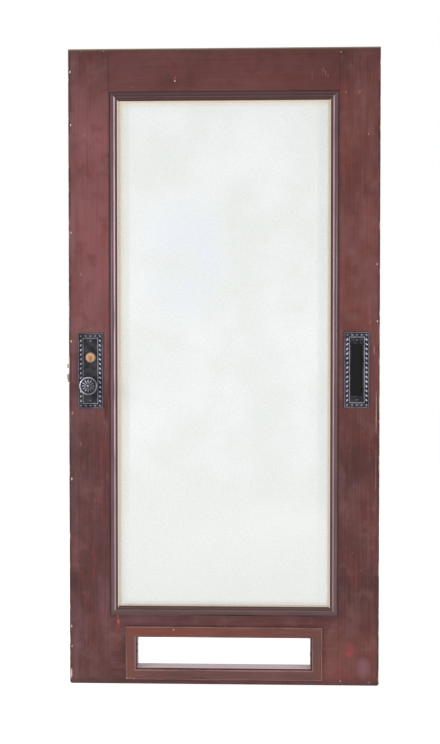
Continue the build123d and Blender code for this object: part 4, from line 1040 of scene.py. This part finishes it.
class DOOR_OT_screws(bpy.types.Operator):
    """Make the slotted screws that hold the plates"""

    bl_idname = "door.screws"
    bl_label = "Screws"

    def execute(self, context):
        metal = cast_bronze("screw_bronze", context.scene.door_colours, 3.2, 3.8)
        half_slot = context.scene.door_detail.screw_slot / 2
        turn = Random(SCREW_SEED)
        for node, side, seat in SCREW_PAIRS:
            low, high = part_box(node)
            x = (low.x + high.x) / 2
            section = [(0, -SCREW_LENGTH), (SCREW_SHANK_R, -SCREW_LENGTH), (SCREW_SHANK_R, seat)]
            section += [(radius, seat + rise) for radius, rise in SCREW_HEAD]
            ends = sorted(side * (FACE + (seat + end) * MM) for end in (SLOT_FLOOR, SLOT_TOP))
            screws = bmesh.new()
            slots = bmesh.new()
            for z in (low.z + SCREW_HEAD_R * MM, high.z - SCREW_HEAD_R * MM):
                turned(screws, section, side, x, z, SCREW_STEPS)
                before = set(slots.verts)
                block(slots, (-SLOT_HALF, ends[0], -half_slot), (SLOT_HALF, ends[1], half_slot))
                place = Matrix.Translation((x, 0, z)) @ Matrix.Rotation(turn.uniform(0, pi), 4, "Y")
                made = [vert for vert in slots.verts if vert not in before]
                bmesh.ops.transform(slots, matrix=place, verts=made)
            piece = finished(screws, f"{node}_slotted", "leaf", [metal], [node])
            cut(piece, slots)
        return {"FINISHED"}


# The camera that the photograph was taken with, and the soft light round the door
CAMERA_PLACE = (0.0668, -2.98515, 1.0793)
CAMERA_TILT = (88.803, 0.0, 1.523)
CAMERA_LENS, CAMERA_SENSOR = 44.395, 36
SOFT_LAMPS = (
    ("left_soft_light", (-2.6, -1.6, 1.5), 0.9, 34),
    ("right_soft_light", (2.7, -1.7, 1.5), 0.9, 29),
    ("back_soft_light", (0.6, 3.0, 2.4), 2.4, 26),
)
LAMP_AIM = (0, 0, 1.0)
WORLD_LIGHT = 0.42
FLOOR_SIZE, FLOOR_DROP, FLOOR_GLOW = 12, 0.0004, 0.66


class DOOR_OT_stage(bpy.types.Operator):
    """Set up the floor, the lamps, the world and the camera"""

    bl_idname = "door.stage"
    bl_label = "Stage"

    def execute(self, context):
        scene = context.scene
        scene.view_settings.view_transform = "Standard"
        camera_data = bpy.data.cameras.new("camera")
        camera_data.lens = CAMERA_LENS
        camera_data.sensor_width = CAMERA_SENSOR
        camera = bpy.data.objects.new("camera", camera_data)
        camera.location = CAMERA_PLACE
        camera.rotation_euler = [radians(angle) for angle in CAMERA_TILT]
        scene.collection.objects.link(camera)
        scene.camera = camera
        for name, place, size, power in SOFT_LAMPS:
            self.lamp(scene, name, place, size, power)
        self.floor(scene)
        self.world(scene)
        return {"FINISHED"}

    def lamp(self, scene, name, place, size, power):
        data = bpy.data.lights.new(name, "AREA")
        data.shape = "SQUARE"
        data.size = size
        data.energy = power
        lamp = bpy.data.objects.new(name, data)
        lamp.location = place
        aim = Vector(LAMP_AIM) - Vector(place)
        lamp.rotation_euler = aim.to_track_quat("-Z", "Y").to_euler()
        scene.collection.objects.link(lamp)

    def floor(self, scene):
        ground = bmesh.new()
        bmesh.ops.create_grid(ground, x_segments=1, y_segments=1, size=FLOOR_SIZE)
        mesh = bpy.data.meshes.new("floor")
        ground.to_mesh(mesh)
        ground.free()
        floor = bpy.data.objects.new("floor", mesh)
        floor.location.z = -FLOOR_DROP
        scene.collection.objects.link(floor)
        pale = Finish("pale_floor", roughness=0.9, specular=0.0)
        pale.feed("Base Color", shade(232, 232, 232))
        pale.feed("Emission Color", shade(255, 255, 255))
        pale.feed("Emission Strength", FLOOR_GLOW)
        mesh.materials.append(pale.material)

    def world(self, scene):
        world = bpy.data.worlds.new("studio")
        scene.world = world
        world.use_nodes = True
        nodes, links = world.node_tree.nodes, world.node_tree.links
        background = nodes["Background"]
        background.inputs["Color"].default_value = (1, 1, 1, 1)
        ray = nodes.new("ShaderNodeLightPath")
        seen = ray.outputs["Is Camera Ray"]
        for kind in ("Is Glossy Ray", "Is Transmission Ray"):
            either = nodes.new("ShaderNodeMath")
            either.operation = "MAXIMUM"
            links.new(seen, either.inputs[0])
            links.new(ray.outputs[kind], either.inputs[1])
            seen = either.outputs[0]
        strength = nodes.new("ShaderNodeMapRange")
        strength.inputs["To Min"].default_value = WORLD_LIGHT
        strength.inputs["To Max"].default_value = 1.0
        links.new(seen, strength.inputs["Value"])
        links.new(strength.outputs[0], background.inputs["Strength"])


OPERATORS = (
    DOOR_OT_woodwork, DOOR_OT_wear, DOOR_OT_glass, DOOR_OT_plates, DOOR_OT_knobs,
    DOOR_OT_cylinder, DOOR_OT_lock, DOOR_OT_letter_flap, DOOR_OT_screws, DOOR_OT_stage,
)


class DOOR_PT_panel(bpy.types.Panel):
    """The door's steps, colours and sizes in the 3D view's sidebar"""

    bl_label = "Glass door"
    bl_idname = "DOOR_PT_panel"
    bl_space_type = "VIEW_3D"
    bl_region_type = "UI"
    bl_category = "Door"

    def draw(self, context):
        layout = self.layout
        for operator in OPERATORS:
            layout.operator(operator.bl_idname)
        for group in (context.scene.door_colours, context.scene.door_detail):
            for name in group.bl_rna.properties.keys():
                if name not in ("rna_type", "name"):
                    layout.prop(group, name)


CLASSES = (DoorColours, DoorDetail, *OPERATORS, DOOR_PT_panel)


def register():
    for cls in CLASSES:
        bpy.utils.register_class(cls)
    bpy.types.Scene.door_colours = PointerProperty(type=DoorColours)
    bpy.types.Scene.door_detail = PointerProperty(type=DoorDetail)


def unregister():
    del bpy.types.Scene.door_detail
    del bpy.types.Scene.door_colours
    for cls in reversed(CLASSES):
        bpy.utils.unregister_class(cls)


def main():
    register()
    for operator in OPERATORS:
        group, action = operator.bl_idname.split(".")
        getattr(getattr(bpy.ops, group), action)()


if __name__ == "__main__":
    main()
